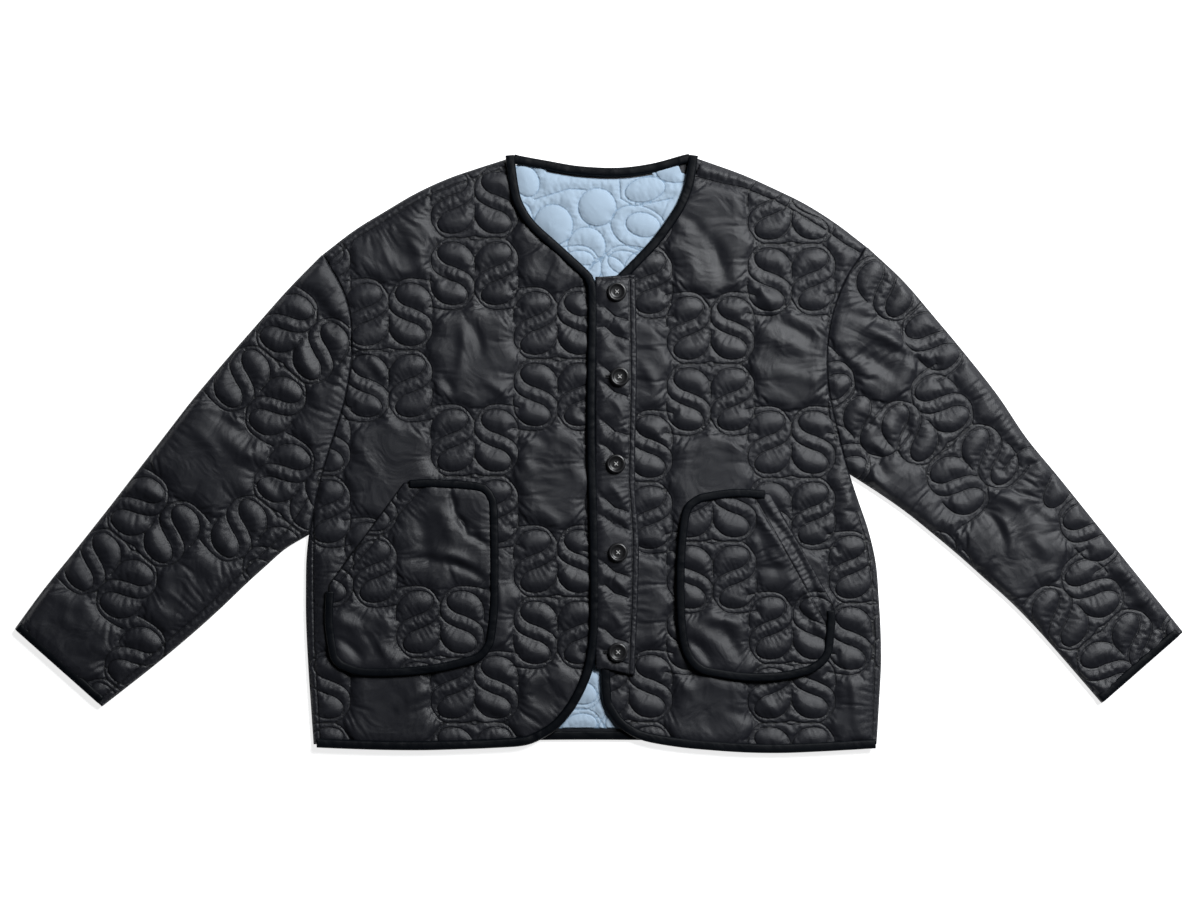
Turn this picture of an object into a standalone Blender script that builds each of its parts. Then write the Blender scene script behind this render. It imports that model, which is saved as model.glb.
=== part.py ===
"""A collarless quilted jacket, buttoned and laid flat on its back.

+Z is up from the table, +Y runs from the hem to the neck, and the wearer's right is at -X.
Lengths are in millimetres until a mesh is made. Each outline runs counterclockwise, so that
the cloth is on its left.
"""

import math

import bmesh
import bpy

MM = 0.001
GAP = 0.3
CURVE_GAP = 0.7

# How a curve is cut into chords: the longest chord, the most that one turns, how far from a corner
# the first point is on a panel and on a tape, the room left beside that point, and the least part of
# a chord that an inset ring keeps.
LONGEST = 34.0
BEND = math.radians(13.0)
GUARD = 2.5
BAR_GUARD = 4.0
ROOM = 4.0
CROWD = 0.2

# Heights above the table of each layer's underside and top.
BACK = (0.0, 4.4)
LINING = (4.7, 5.6)
FRONT = (5.9, 10.3)
PLACKET = (10.6, 13.0)
POCKET = (10.6, 14.2)
BUTTON = (13.9, 17.7)

TAPE_BODY = 8.5
TAPE_POCKET = 7.5
TAPE_WALL = 1.1
TAPE_FOLD = 2.0
FLANGE = 0.8
SLOT_GAP = 0.25

# Where a seam lies inside the folded edge, at the start and end of its run up the jacket.
SEAM_SHOULDER_RIGHT = 8.0
SEAM_SHOULDER_LEFT = (5.3, 16.3)
SEAM_SIDE_LEFT = (6.8, 0.0)
LIP_SHOULDER_LEFT = (5.0, 15.0)
LIP_SIDE_LEFT = (5.8, 0.9)
LIP_SIDE_LEFT_END = 60.0

SLEEVE_HEIGHT = 10.3
SLEEVE_WALL = 4.7
SLEEVE_ROUND = 5.0
SLEEVE_ACROSS = 17
SLEEVE_ALONG = 10
CUFF_TAPE = 8.0

BUTTON_RADIUS = 9.8
BUTTON_RIM = 2.2
BUTTON_WELL = 1.1
BUTTON_HOLE = 1.0
BUTTON_HOLE_SPREAD = 2.0

# Plan curves, each a short run of points (x, y) from its top to its bottom, or from -X to +X.
NECK_BACK = [(-83, 306), (-60, 302), (-35, 297), (8, 293), (50, 297), (72, 303), (89, 307)]
NECK_RIGHT = [(-86, 300), (-83.5, 280), (-78, 257), (-62.5, 234), (-40, 214), (-21.5, 198), (-9, 185)]
CENTRE_RIGHT = [(-3, 172), (-1.8, 156), (-2.2, 120), (-3.3, 25), (-0.7, -83), (0, -148), (-2.3, -202)]
CORNER_RIGHT = [(-11.5, -236), (-26, -263), (-45, -284), (-72, -298)]
HEM_RIGHT = [(-97, -301), (-144, -303), (-192, -304), (-244, -303), (-293, -301)]
NECK_LEFT = [(91, 299), (88, 280), (80.5, 258), (66, 236), (51, 216), (35, 199), (19, 184)]
CENTRE_LEFT = [(7, 170), (2.5, 153), (1.6, 130), (1.6, 20), (1.8, -100), (1.8, -200)]
CORNER_LEFT = [(1.8, -236), (6, -260), (22, -282), (51, -296)]
HEM_LEFT = [(92, -302), (142.5, -306), (183.5, -307), (235, -305), (285, -302)]
HEM_BACK = [(-293, -300), (-150, -296), (-30, -294), (80, -295), (180, -299), (285, -301)]
SHOULDER_RIGHT = [(-86, 305), (-118, 295), (-148, 285), (-177, 273), (-202, 259), (-250, 230), (-284, 204)]
SHOULDER_LEFT = [(92, 306), (131, 292.5), (158, 282), (189, 267.5), (221, 251), (252, 230), (275, 212)]
ARMHOLE_RIGHT = [(-284, 204), (-266.5, 175), (-256, 144.5), (-254, 113), (-257, 77), (-264.5, 44), (-276, 8)]
SIDE_RIGHT = [(-285, -20), (-293, -55), (-299, -89), (-301, -132), (-300, -194), (-293, -300)]
ARMHOLE_LEFT = [(275, 212), (254, 179), (242, 149), (235, 113), (235, 75), (240, 44), (248, 12), (257, -22)]
SIDE_LEFT = [(257, -22), (269, -56), (279, -87), (285, -118), (289, -178), (290, -209), (285, -302)]

SLEEVE_RIGHT_TOP = [(-284, 204), (-306, 183), (-400, 76), (-449, 14), (-522, -80), (-568, -137), (-604, -186)]
SLEEVE_RIGHT_UNDER = [(-298, -82), (-317, -94), (-358, -130), (-397, -167), (-447, -210), (-513, -262)]
SLEEVE_LEFT_TOP = [(275, 212), (308, 182), (397, 76), (438, 17), (470, -22), (527, -93), (604, -189)]
SLEEVE_LEFT_UNDER = [(257, -22), (304, -52), (353, -91), (392, -125), (443, -173), (519, -260)]

PLACKET_EDGE = [(37.5, 184), (39, 81), (37, -27), (41, -83), (40, -148), (36.6, -228)]
PLACKET_START = 1.4

POCKET_RIGHT_SLANT = [(-198, -27), (-279, -137)]
POCKET_RIGHT_ROUND = [
    (-279, -137), (-281, -156), (-280, -178), (-276, -205), (-267, -219), (-245, -227), (-223, -228),
    (-181, -226), (-139, -218), (-119, -210), (-109, -197), (-105, -180), (-103, -153), (-103, -69),
    (-106, -45), (-116, -32), (-135, -28), (-160, -26), (-198, -27),
]
POCKET_LEFT_SLANT = [(241, -156), (174, -38)]
POCKET_LEFT_ROUND = [
    (174, -38), (143, -36), (119, -38), (98, -44), (86, -57), (81, -87), (79, -128), (80, -168),
    (83, -195), (92, -215), (108, -226), (143, -232), (173, -233), (204, -229), (224, -221),
    (236, -209), (241, -189), (242, -172), (241, -156),
]
SLANT_HEM = 12.0

# Each button's centre, from the neck down.
BUTTONS = [(18.3, 165.5), (21.2, 78.6), (17.4, -10.5), (19.4, -101.0), (19.4, -203.0)]

MATERIALS = {
    "shell": ((0.026, 0.028, 0.033), 0.55, 0.0),
    "lining": ((0.42, 0.53, 0.63), 0.8, 0.0),
    "binding": ((0.008, 0.010, 0.014), 0.5, 0.0),
    "button": ((0.006, 0.006, 0.007), 0.15, 0.0),
}


def clear_scene():
    for thing in list(bpy.data.objects):
        bpy.data.objects.remove(thing, do_unlink=True)


def material(name, kind):
    """One Principled material for a node, in its slot's colour and roughness."""
    colour, roughness, metallic = MATERIALS[kind]
    made = bpy.data.materials.new(name)
    made.use_nodes = True
    shader = made.node_tree.nodes["Principled BSDF"]
    shader.inputs["Base Color"].default_value = (*colour, 1.0)
    shader.inputs["Roughness"].default_value = roughness
    shader.inputs["Metallic"].default_value = metallic
    return made


def add_object(name, kind, points, faces):
    """A closed mesh from points in millimetres, its faces turned outward."""
    mesh = bpy.data.meshes.new(name)
    mesh.from_pydata([(x * MM, y * MM, z * MM) for x, y, z in points], [], faces)
    shape = bmesh.new()
    shape.from_mesh(mesh)
    bmesh.ops.triangulate(shape, faces=[f for f in shape.faces if len(f.verts) > 4])
    bmesh.ops.recalc_face_normals(shape, faces=shape.faces)
    shape.to_mesh(mesh)
    shape.free()
    made = bpy.data.objects.new(name, mesh)
    bpy.context.scene.collection.objects.link(made)
    if kind:
        mesh.materials.append(material(name, kind))
    return made


# Curves in plan.


def lengths(line):
    total = [0.0]
    for a, b in zip(line, line[1:]):
        total.append(total[-1] + math.dist(a, b))
    return total


def at(line, marks, distance):
    """The point this far along a line."""
    distance = min(max(distance, 0.0), marks[-1])
    index = 0
    while index < len(line) - 2 and marks[index + 1] < distance:
        index += 1
    span = marks[index + 1] - marks[index]
    share = (distance - marks[index]) / span if span else 0.0
    a, b = line[index], line[index + 1]
    return (a[0] + (b[0] - a[0]) * share, a[1] + (b[1] - a[1]) * share)


def smooth(table):
    """A smooth curve through a table's points, eight short chords to each gap."""
    ends = [table[0], *table, table[-1]]
    line = [table[0]]
    for p0, p1, p2, p3 in zip(ends, ends[1:], ends[2:], ends[3:]):
        for part in range(1, 9):
            t = part / 8
            line.append(tuple(
                0.5 * (2 * b + (c - a) * t + (2 * a - 5 * b + 4 * c - d) * t**2
                       + (3 * b - a - 3 * c + d) * t**3)
                for a, b, c, d in zip(p0, p1, p2, p3)
            ))
    return line


def evenly(line, count):
    marks = lengths(line)
    return [at(line, marks, marks[-1] * k / (count - 1)) for k in range(count)]


def stretch(line, start, end):
    """The part of a line from one distance to another, each kept inside it."""
    marks = lengths(line)
    end = marks[-1] - end
    inside = [p for p, m in zip(line, marks) if start + 0.5 < m < end - 0.5]
    return [at(line, marks, start), *inside, at(line, marks, end)]


def parallel(line, distance):
    """A line moved to its left by one distance, or by one that changes from its start to its end."""
    first, last = distance if isinstance(distance, tuple) else (distance, distance)
    marks = lengths(line)
    moved = []
    for index, (x, y) in enumerate(line):
        before = line[max(index - 1, 0)]
        after = line[min(index + 1, len(line) - 1)]
        span = math.dist(before, after)
        move = first + (last - first) * marks[index] / marks[-1]
        moved.append((x - (after[1] - before[1]) / span * move, y + (after[0] - before[0]) / span * move))
    return moved


def crossing(a, b, c, d):
    """Where segments ab and cd cross, as shares of each, or None."""
    cross = (b[0] - a[0]) * (d[1] - c[1]) - (b[1] - a[1]) * (d[0] - c[0])
    if abs(cross) < 1e-9:
        return None
    s = ((c[0] - a[0]) * (d[1] - c[1]) - (c[1] - a[1]) * (d[0] - c[0])) / cross
    t = ((c[0] - a[0]) * (b[1] - a[1]) - (c[1] - a[1]) * (b[0] - a[0])) / cross
    return (s, t) if -1e-9 <= s <= 1 + 1e-9 and -1e-9 <= t <= 1 + 1e-9 else None


def lengthened(line, reach=40.0):
    """A line with a straight piece added at each end."""
    def beyond(tip, inner):
        span = math.dist(tip, inner)
        return tuple(p + (p - q) / span * reach for p, q in zip(tip, inner))
    return [beyond(line[0], line[1]), *line, beyond(line[-1], line[-2])]


def corner(first, second):
    """Where the end of one line crosses the start of the next, as a place in each."""
    best = None
    for i in range(len(first) - 1, 0, -1):
        for j in range(len(second) - 1):
            found = crossing(first[i - 1], first[i], second[j], second[j + 1])
            if found and (best is None or (len(first) - i) + j < best[0]):
                best = ((len(first) - i) + j, i - 1 + found[0], j + found[1])
    return best[1], best[2]


def place(line, index):
    """The point at a fractional index of a line."""
    low = min(max(int(index), 0), len(line) - 2)
    share = index - low
    return tuple(a + (b - a) * share for a, b in zip(line[low], line[low + 1]))


def turning(a, b, c):
    """The angle by which a line turns at b."""
    before = math.atan2(b[1] - a[1], b[0] - a[0])
    after = math.atan2(c[1] - b[1], c[0] - b[0])
    return abs(math.remainder(after - before, math.tau))


def index_at(line, distance):
    """The fractional index this far along a line."""
    marks = lengths(line)
    low = next(k for k in range(len(line) - 1) if marks[k + 1] >= distance)
    return low + (distance - marks[low]) / (marks[low + 1] - marks[low])


def samples(run, guard):
    """The places of a run's points: closer where it bends, and one close to each end."""
    marks = lengths(run)
    inner = []
    since = 0.0
    turn = 0.0
    for k in range(1, len(run) - 1):
        since += marks[k] - marks[k - 1]
        turn += turning(run[k - 1], run[k], run[k + 1])
        if (since > LONGEST or turn > BEND) and guard + ROOM < marks[k] < marks[-1] - guard - ROOM:
            inner.append(k)
            since = 0.0
            turn = 0.0
    return [0, index_at(run, guard), *inner, index_at(run, marks[-1] - guard), len(run) - 1]


def ring(runs, distances):
    """A closed ring inside the runs: each is moved in by its distance and cut at its corners."""
    lines = [lengthened(parallel(run, d)) for run, d in zip(runs, distances)]
    corners = [corner(lines[k - 1], lines[k]) for k in range(len(lines))]
    points = []
    for k, (run, line) in enumerate(zip(runs, lines)):
        start = corners[k][1]
        end = corners[(k + 1) % len(lines)][0]
        wanted = samples(run, GUARD)
        for n, index in enumerate(wanted[:-1]):
            low = start + n * CROWD
            high = end - (len(wanted) - 1 - n) * CROWD
            points.append(place(line, start if n == 0 else min(max(index + 1, low), high)))
    return points


def run_index(runs):
    """Which run each point of a ring is on, and whether it is the corner that starts it."""
    marks = []
    for index, run in enumerate(runs):
        marks += [(index, k == 0) for k in range(len(samples(run, GUARD)) - 1)]
    return marks


# Edges: how a panel's rings step in and up from its underside to its top.


def plain_edge(low, high):
    middle = (low + high) / 2
    half = (high - low) / 6
    return [
        (1.8, low), (0.8, low + half / 2), (0.2, middle - half), (0.2, middle + half),
        (0.8, high - half / 2), (1.8, high), (2.8, high),
    ]


def bound_edge(low, high, tape):
    """A thin flange at mid height, which goes into the binding's fold."""
    middle = (low + high) / 2
    inner = tape + CURVE_GAP
    return [
        (inner + 0.9, low), (inner, middle - FLANGE), (TAPE_FOLD + CURVE_GAP, middle - FLANGE),
        (TAPE_FOLD + CURVE_GAP, middle + FLANGE), (inner, middle + FLANGE), (inner + 0.9, high),
        (inner + 1.9, high),
    ]


def hemmed_edge(low, high, width):
    """An edge turned under, which stands higher than the cloth beside it."""
    return [
        (1.8, low), (0.8, low + 0.3), (0.2, low + 1.0), (0.2, high - 0.8),
        (1.2, high), (width, high), (width + 1.5, high - 0.7),
    ]


def panel(name, kind, sides):
    """A closed panel: sides is a list of (run, edge), where an edge is a list of (inset, height)."""
    runs = [run for run, _ in sides]
    edges = [edge for _, edge in sides]
    marks = run_index(runs)
    middle = (edges[0][0][1] + edges[0][-1][1]) / 2
    points = []
    for level in range(len(edges[0])):
        plan = ring(runs, [edge[level][0] for edge in edges])
        for (x, y), (side, at_corner) in zip(plan, marks):
            height = edges[side][level][1]
            if at_corner:
                height = min(height, edges[side - 1][level][1], key=lambda z: abs(z - middle))
            points.append((x, y, height))
    around = len(marks)
    levels = len(edges[0])
    faces = [list(range(around))[::-1], [(levels - 1) * around + k for k in range(around)]]
    for level in range(levels - 1):
        for k in range(around):
            after = (k + 1) % around
            base = level * around
            faces.append([base + k, base + after, base + around + after, base + around + k])
    return add_object(name, kind, points, faces)


def bar(name, kind, line, section, trims=(0.0, 0.0)):
    """A section of (inset, height) points swept along a line, level with the points of a panel's ring.

    The trims are how far short of the line's start and end it stops."""
    places = samples(line, BAR_GUARD)[1:-1]
    first = max(index_at(line, trims[0]), places[0])
    last = min(index_at(line, lengths(line)[-1] - trims[1]), places[-1])
    places = [first, *(index for index in places if first + 1 < index < last - 1), last]
    rows = [[place(parallel(line, inset), index) for index in places] for inset, _ in section]
    count = len(rows[0])
    points = [(*rows[k][n], section[k][1]) for n in range(count) for k in range(len(section))]
    size = len(section)
    faces = [list(range(size)), [(count - 1) * size + k for k in range(size)][::-1]]
    for n in range(count - 1):
        for k in range(size):
            after = (k + 1) % size
            faces.append([n * size + k, n * size + after, (n + 1) * size + after, (n + 1) * size + k])
    return add_object(name, kind, points, faces)


def binding(name, line, layer, tape, trims=(0.0, 0.0)):
    """A tape folded over an edge: a U-shaped wall whose fold lies along the line."""
    low, high = layer
    middle = (low + high) / 2
    slot = FLANGE + SLOT_GAP
    section = [
        (tape, low), (1.4, low), (0.0, low + 1.3), (0.0, high - 1.3), (1.4, high), (tape, high),
        (tape, middle + slot), (TAPE_FOLD, middle + slot), (TAPE_FOLD, middle - slot), (tape, middle - slot),
    ]
    return bar(name, "binding", line, section, trims)


def lip(target, line, width, low, high):
    """A fold of a panel's own cloth that wraps round the jacket's edge, joined to its panel."""
    first, last = width if isinstance(width, tuple) else (width, width)
    section = [((0.25, 0.25), low), ((first, last), low), ((first, last), high), ((0.25, 0.25), high)]
    strip = bar(target.name + "_lip", None, line, section)
    strip.hide_render = True
    strip.display_type = "WIRE"
    joined = target.modifiers.new("lip", "BOOLEAN")
    joined.operation = "UNION"
    joined.object = strip


# Sleeves: rings worked out between the armhole and the cuff.


def sleeve_row(top, under, armhole, share):
    """The line across a sleeve at a share of its length, bent like the armhole at first."""
    upper = at(top, lengths(top), lengths(top)[-1] * share)
    lower = at(under, lengths(under), lengths(under)[-1] * share)
    bend = (1 - share) ** 2
    start, end = armhole[0], armhole[-1]
    row = []
    for k in range(SLEEVE_ACROSS):
        s = k / (SLEEVE_ACROSS - 1)
        point = at(armhole, lengths(armhole), lengths(armhole)[-1] * s)
        chord = tuple(a + (b - a) * s for a, b in zip(start, end))
        row.append(tuple(u + (l - u) * s + (p - c) * bend for u, l, p, c in zip(upper, lower, point, chord)))
    return row


def sleeve_ring(row, inset, low, high, radius):
    """One closed section over and under a row: flat, with rounded edges."""
    marks = lengths(row)
    width = marks[-1]
    middle = (low + high) / 2
    half = (high - low) / 2
    stops = []
    for angle in (0.0, 30.0, 60.0, 90.0):
        a = math.radians(angle)
        stops.append((inset + radius * (1 - math.cos(a)), half * math.sin(a)))
    inner = [inset + radius + (width - 2 * (inset + radius)) * k / 6 for k in range(1, 6)]
    over = stops + [(d, half) for d in inner] + [(width - d, h) for d, h in reversed(stops)]
    under = [(d, -h) for d, h in reversed(over[1:-1])]
    return [(*at(row, marks, d), middle + h) for d, h in over + under]


def tube(name, kind, rows):
    """A hollow flattened tube through rows across a sleeve."""
    outer = [sleeve_ring(row, 0.0, 0.0, SLEEVE_HEIGHT, SLEEVE_ROUND) for row in rows]
    slot = (SLEEVE_WALL, SLEEVE_HEIGHT - SLEEVE_WALL)
    inner = [sleeve_ring(row, SLEEVE_WALL, *slot, SLEEVE_HEIGHT / 2 - SLEEVE_WALL) for row in rows]
    size = len(outer[0])
    points = [p for section in outer + inner for p in section]
    hollow = len(rows) * size
    faces = []
    for n in range(len(rows) - 1):
        for k in range(size):
            after = (k + 1) % size
            a, b = n * size, (n + 1) * size
            faces.append([a + k, a + after, b + after, b + k])
            faces.append([hollow + a + k, hollow + b + k, hollow + b + after, hollow + a + after])
    for n in (0, len(rows) - 1):
        for k in range(size):
            after = (k + 1) % size
            a = n * size
            faces.append([a + k, a + after, hollow + a + after, hollow + a + k])
    return add_object(name, kind, points, faces)


def sleeve(side, top, under, armhole, outward):
    """A sleeve and the binding round its cuff."""
    top, under = smooth(top), smooth(under)
    length = lengths(top)[-1]
    cuff = 1 - CUFF_TAPE / length
    gap = GAP / length
    seam = parallel(armhole, outward * CURVE_GAP)
    cloth = [k / SLEEVE_ALONG * cuff for k in range(SLEEVE_ALONG + 1)]
    rows = [sleeve_row(top, under, seam, share) for share in cloth]
    rows[0] = evenly(seam, SLEEVE_ACROSS)
    tube("sleeve_" + side, "shell", rows)
    tape = [cuff + gap, 1.0]
    tube("binding_cuff_" + side, "binding", [sleeve_row(top, under, seam, share) for share in tape])


# The jacket.


def build_body():
    """The back, its lining, the two fronts and the bindings round their edges."""
    side_right = smooth(ARMHOLE_RIGHT + SIDE_RIGHT)
    armhole_left = smooth(ARMHOLE_LEFT)
    side_left = smooth(SIDE_LEFT)[::-1]
    edge_left = side_left + armhole_left[::-1][1:]
    shoulder_right = smooth(SHOULDER_RIGHT)
    shoulder_left = smooth(SHOULDER_LEFT)[::-1]
    neck_back = smooth(NECK_BACK)[::-1]
    hem_back = smooth(HEM_BACK)
    free_right = smooth(NECK_RIGHT + CENTRE_RIGHT + CORNER_RIGHT + HEM_RIGHT)[::-1]
    free_left = smooth(NECK_LEFT + CENTRE_LEFT + CORNER_LEFT + HEM_LEFT)

    back_plain = plain_edge(*BACK)
    back_bound = bound_edge(*BACK, TAPE_BODY)
    under_lip = [(inset + SEAM_SHOULDER_RIGHT + CURVE_GAP, z) for inset, z in back_plain]
    back = panel("back", "shell", [
        (neck_back, back_bound), (shoulder_right, under_lip), (side_right, back_plain),
        (hem_back, back_bound), (edge_left, back_plain), (shoulder_left, back_plain),
    ])
    lining_edge = [(inset + TAPE_BODY + 3.0, z) for inset, z in plain_edge(*LINING)]
    lining_deep = [(inset + 19.0, z) for inset, z in plain_edge(*LINING)]
    panel("lining_back", "lining", [
        (neck_back, lining_edge), (shoulder_right, lining_deep), (side_right, lining_deep),
        (hem_back, lining_edge), (edge_left, lining_deep), (shoulder_left, lining_deep),
    ])

    front_plain = plain_edge(*FRONT)
    front_bound = bound_edge(*FRONT, TAPE_BODY)
    front_right = panel("front_right", "shell", [
        (free_right, front_bound), (shoulder_right, front_plain), (side_right, front_plain),
    ])
    side_seam = parallel(side_left, SEAM_SIDE_LEFT) + armhole_left[::-1][1:]
    panel("front_left", "shell", [
        (free_left, front_bound), (side_seam, front_plain),
        (parallel(shoulder_left, SEAM_SHOULDER_LEFT), front_plain),
    ])

    lip(back, stretch(shoulder_left, 9.0, 12.0), LIP_SHOULDER_LEFT, BACK[1] - 1.0, FRONT[1])
    lip(back, stretch(side_left, 11.0, LIP_SIDE_LEFT_END), LIP_SIDE_LEFT, BACK[1] - 1.0, FRONT[1])
    lip(front_right, stretch(shoulder_right, 12.0, 6.0), SEAM_SHOULDER_RIGHT, BACK[0], FRONT[0] + 1.0)

    binding("binding_neck_back", neck_back, BACK, TAPE_BODY)
    binding("binding_hem_back", hem_back, BACK, TAPE_BODY)
    binding("binding_front_right", free_right, FRONT, TAPE_BODY)
    trims = (SEAM_SHOULDER_LEFT[1], SEAM_SIDE_LEFT[0] + GUARD)
    binding("binding_front_left", free_left, FRONT, TAPE_BODY, trims)

    seam_right = stretch(side_right, 0.0, lengths(side_right)[-1] - armhole_length(side_right))
    sleeve("right", SLEEVE_RIGHT_TOP, SLEEVE_RIGHT_UNDER, seam_right, -1)
    sleeve("left", SLEEVE_LEFT_TOP, SLEEVE_LEFT_UNDER, armhole_left, 1)


def armhole_length(line):
    """How far down the wearer's right side the sleeve is against the body."""
    under = SLEEVE_RIGHT_UNDER[0][1]
    return next(mark for point, mark in zip(line, lengths(line)) if point[1] < under)


def build_placket():
    """The buttonhole strip, its free edge turned under and stitched."""
    edge = smooth(PLACKET_EDGE)[::-1]
    top = PLACKET_EDGE[0][1]
    bottom = PLACKET_EDGE[-1][1]
    low, high = PLACKET
    plain = plain_edge(low, high - 0.5)
    inner_top = (PLACKET_START, top - 3.0)
    inner_bottom = (PLACKET_START, bottom + 8.0)
    panel("placket", "shell", [
        (edge, hemmed_edge(low, high, 6.0)),
        (evenly([edge[-1], inner_top], 9), plain), (evenly([inner_top, inner_bottom], 60), plain),
        (evenly([inner_bottom, edge[0]], 9), plain),
    ])


def build_pocket(side, slant, curve):
    """A patch pocket: bound all round, but for the slanted hem of its opening."""
    low, high = POCKET
    slant_run = evenly(slant, 30)
    round_run = smooth(curve)
    name = "pocket_" + side
    panel(name, "shell", [
        (slant_run, hemmed_edge(low, high, SLANT_HEM)), (round_run, bound_edge(low, high - 0.7, TAPE_POCKET)),
    ])
    binding("binding_pocket_" + side, round_run, (low, high - 0.7), TAPE_POCKET)


def button_mesh():
    """A round button with a rim, a shallow well and four holes through it."""
    low, high = BUTTON
    radius = BUTTON_RADIUS
    profile = [
        (radius - 1.4, low), (radius, low + 1.2), (radius, high - 0.9), (radius - 0.8, high),
        (radius - BUTTON_RIM, high - 0.1), (radius - BUTTON_RIM - 1.3, high - BUTTON_WELL),
    ]
    around = 28
    points = []
    for r, z in profile:
        turns = [math.tau * k / around for k in range(around)]
        points += [(r * math.cos(turn), r * math.sin(turn), z) for turn in turns]
    faces = [list(range(around))[::-1], [(len(profile) - 1) * around + k for k in range(around)]]
    for level in range(len(profile) - 1):
        for k in range(around):
            after = (k + 1) % around
            base = level * around
            faces.append([base + k, base + after, base + around + after, base + around + k])
    return points, faces


def hole_cutter(name):
    """Four small rods in one mesh, to cut a button's holes."""
    low, high = BUTTON
    sides = 10
    points = []
    faces = []
    for quarter in range(4):
        turn = math.tau * (quarter + 0.5) / 4
        cx = BUTTON_HOLE_SPREAD * math.sqrt(2) * math.cos(turn)
        cy = BUTTON_HOLE_SPREAD * math.sqrt(2) * math.sin(turn)
        base = len(points)
        for z in (low - 1, high + 1):
            for k in range(sides):
                angle = math.tau * k / sides
                points.append((cx + BUTTON_HOLE * math.cos(angle), cy + BUTTON_HOLE * math.sin(angle), z))
        faces.append([base + k for k in range(sides)][::-1])
        faces.append([base + sides + k for k in range(sides)])
        for k in range(sides):
            after = (k + 1) % sides
            faces.append([base + k, base + after, base + sides + after, base + sides + k])
    return add_object(name, None, points, faces)


def build_buttons():
    for number, (x, y) in enumerate(BUTTONS, 1):
        button = add_object(f"button_{number}", "button", *button_mesh())
        cutter = hole_cutter(f"button_holes_{number}")
        cutter.hide_render = True
        cutter.display_type = "WIRE"
        holes = button.modifiers.new("holes", "BOOLEAN")
        holes.operation = "DIFFERENCE"
        holes.object = cutter
        for thing in (button, cutter):
            thing.location = (x * MM, y * MM, 0.0)


def centre_on_table():
    """Moves everything so that the jacket's box stands on the origin at its middle."""
    bpy.context.view_layer.update()
    corners = []
    for thing in bpy.data.objects:
        if not thing.hide_render:
            corners += [thing.matrix_world @ vertex.co for vertex in thing.data.vertices]
    for axis in (0, 1):
        values = [corner[axis] for corner in corners]
        middle = (min(values) + max(values)) / 2
        for thing in bpy.data.objects:
            thing.location[axis] -= middle


clear_scene()
build_body()
build_placket()
build_pocket("right", POCKET_RIGHT_SLANT, POCKET_RIGHT_ROUND)
build_pocket("left", POCKET_LEFT_SLANT, POCKET_LEFT_ROUND)
build_buttons()
centre_on_table()
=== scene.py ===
import math

import bpy
import numpy as np
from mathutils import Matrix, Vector, geometry, kdtree


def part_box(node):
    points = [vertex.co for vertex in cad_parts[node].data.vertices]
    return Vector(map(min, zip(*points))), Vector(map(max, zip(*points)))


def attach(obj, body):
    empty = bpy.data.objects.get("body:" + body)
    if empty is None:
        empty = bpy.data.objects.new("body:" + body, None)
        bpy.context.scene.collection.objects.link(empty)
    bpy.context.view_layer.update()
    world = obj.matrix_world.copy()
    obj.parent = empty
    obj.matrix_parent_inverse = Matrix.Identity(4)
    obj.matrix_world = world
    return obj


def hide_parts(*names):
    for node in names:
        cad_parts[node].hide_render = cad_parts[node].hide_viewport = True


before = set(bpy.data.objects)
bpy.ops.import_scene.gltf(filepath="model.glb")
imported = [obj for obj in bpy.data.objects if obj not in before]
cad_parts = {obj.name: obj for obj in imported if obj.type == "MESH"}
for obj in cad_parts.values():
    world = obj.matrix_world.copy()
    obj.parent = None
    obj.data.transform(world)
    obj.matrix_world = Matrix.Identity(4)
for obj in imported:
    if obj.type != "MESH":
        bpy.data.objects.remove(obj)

bpy.context.view_layer.update()

mm = 0.001
simScale = 100.0  # cloth is settled this much larger, where the solver's stiffness suits it
cloth = {"frames": 24, "growStitched": -0.04, "growPlain": -0.12, "pressure": 0.9, "plainPressure": 0.12,
         "bending": 0.08, "tension": 15.0, "shear": 5.0, "seed": 7}


# lines in plan, all in millimetres

def welded(node):
    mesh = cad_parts[node].data
    mesh.calc_loop_triangles()
    points = np.empty(len(mesh.vertices) * 3)
    mesh.vertices.foreach_get("co", points)
    corners = np.empty(len(mesh.loop_triangles) * 3, np.int32)
    mesh.loop_triangles.foreach_get("vertices", corners)
    places, merged = np.unique(np.round(points.reshape(-1, 3) / mm, 2), axis=0, return_inverse=True)
    return places, merged.reshape(-1)[corners].reshape(-1, 3)


def outlineOf(node):
    # the silhouette seen from above: edges between faces that look up and faces that don't
    points, faces = welded(node)
    normals = np.cross(points[faces[:, 1]] - points[faces[:, 0]], points[faces[:, 2]] - points[faces[:, 0]])
    upward = normals[:, 2] > 0.05 * np.linalg.norm(normals, axis=1)
    directed = {(int(f[k]), int(f[(k + 1) % 3])) for f in faces[upward] for k in range(3)}
    following = {a: b for a, b in directed if (b, a) not in directed}
    best = []
    bestArea = 0.0
    while following:
        start, step = next(iter(following.items()))
        loop = []
        while step in following:
            loop.append(step)
            step = following.pop(step)
        ring = points[loop][:, :2] if len(loop) > 2 else np.zeros((3, 2))
        size = areaOf(ring)
        if size > bestArea:
            best, bestArea = ring, size
        following.pop(start, None)
    return best


def areaOf(ring):
    x, y = ring[:, 0], ring[:, 1]
    return 0.5 * float(np.sum(x * np.roll(y, -1) - y * np.roll(x, -1)))


def turnsOf(ring):
    before = ring - np.roll(ring, 1, axis=0)
    after = np.roll(ring, -1, axis=0) - ring
    angle = np.arctan2(after[:, 1], after[:, 0]) - np.arctan2(before[:, 1], before[:, 0])
    return np.abs((angle + math.pi) % math.tau - math.pi)


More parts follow.
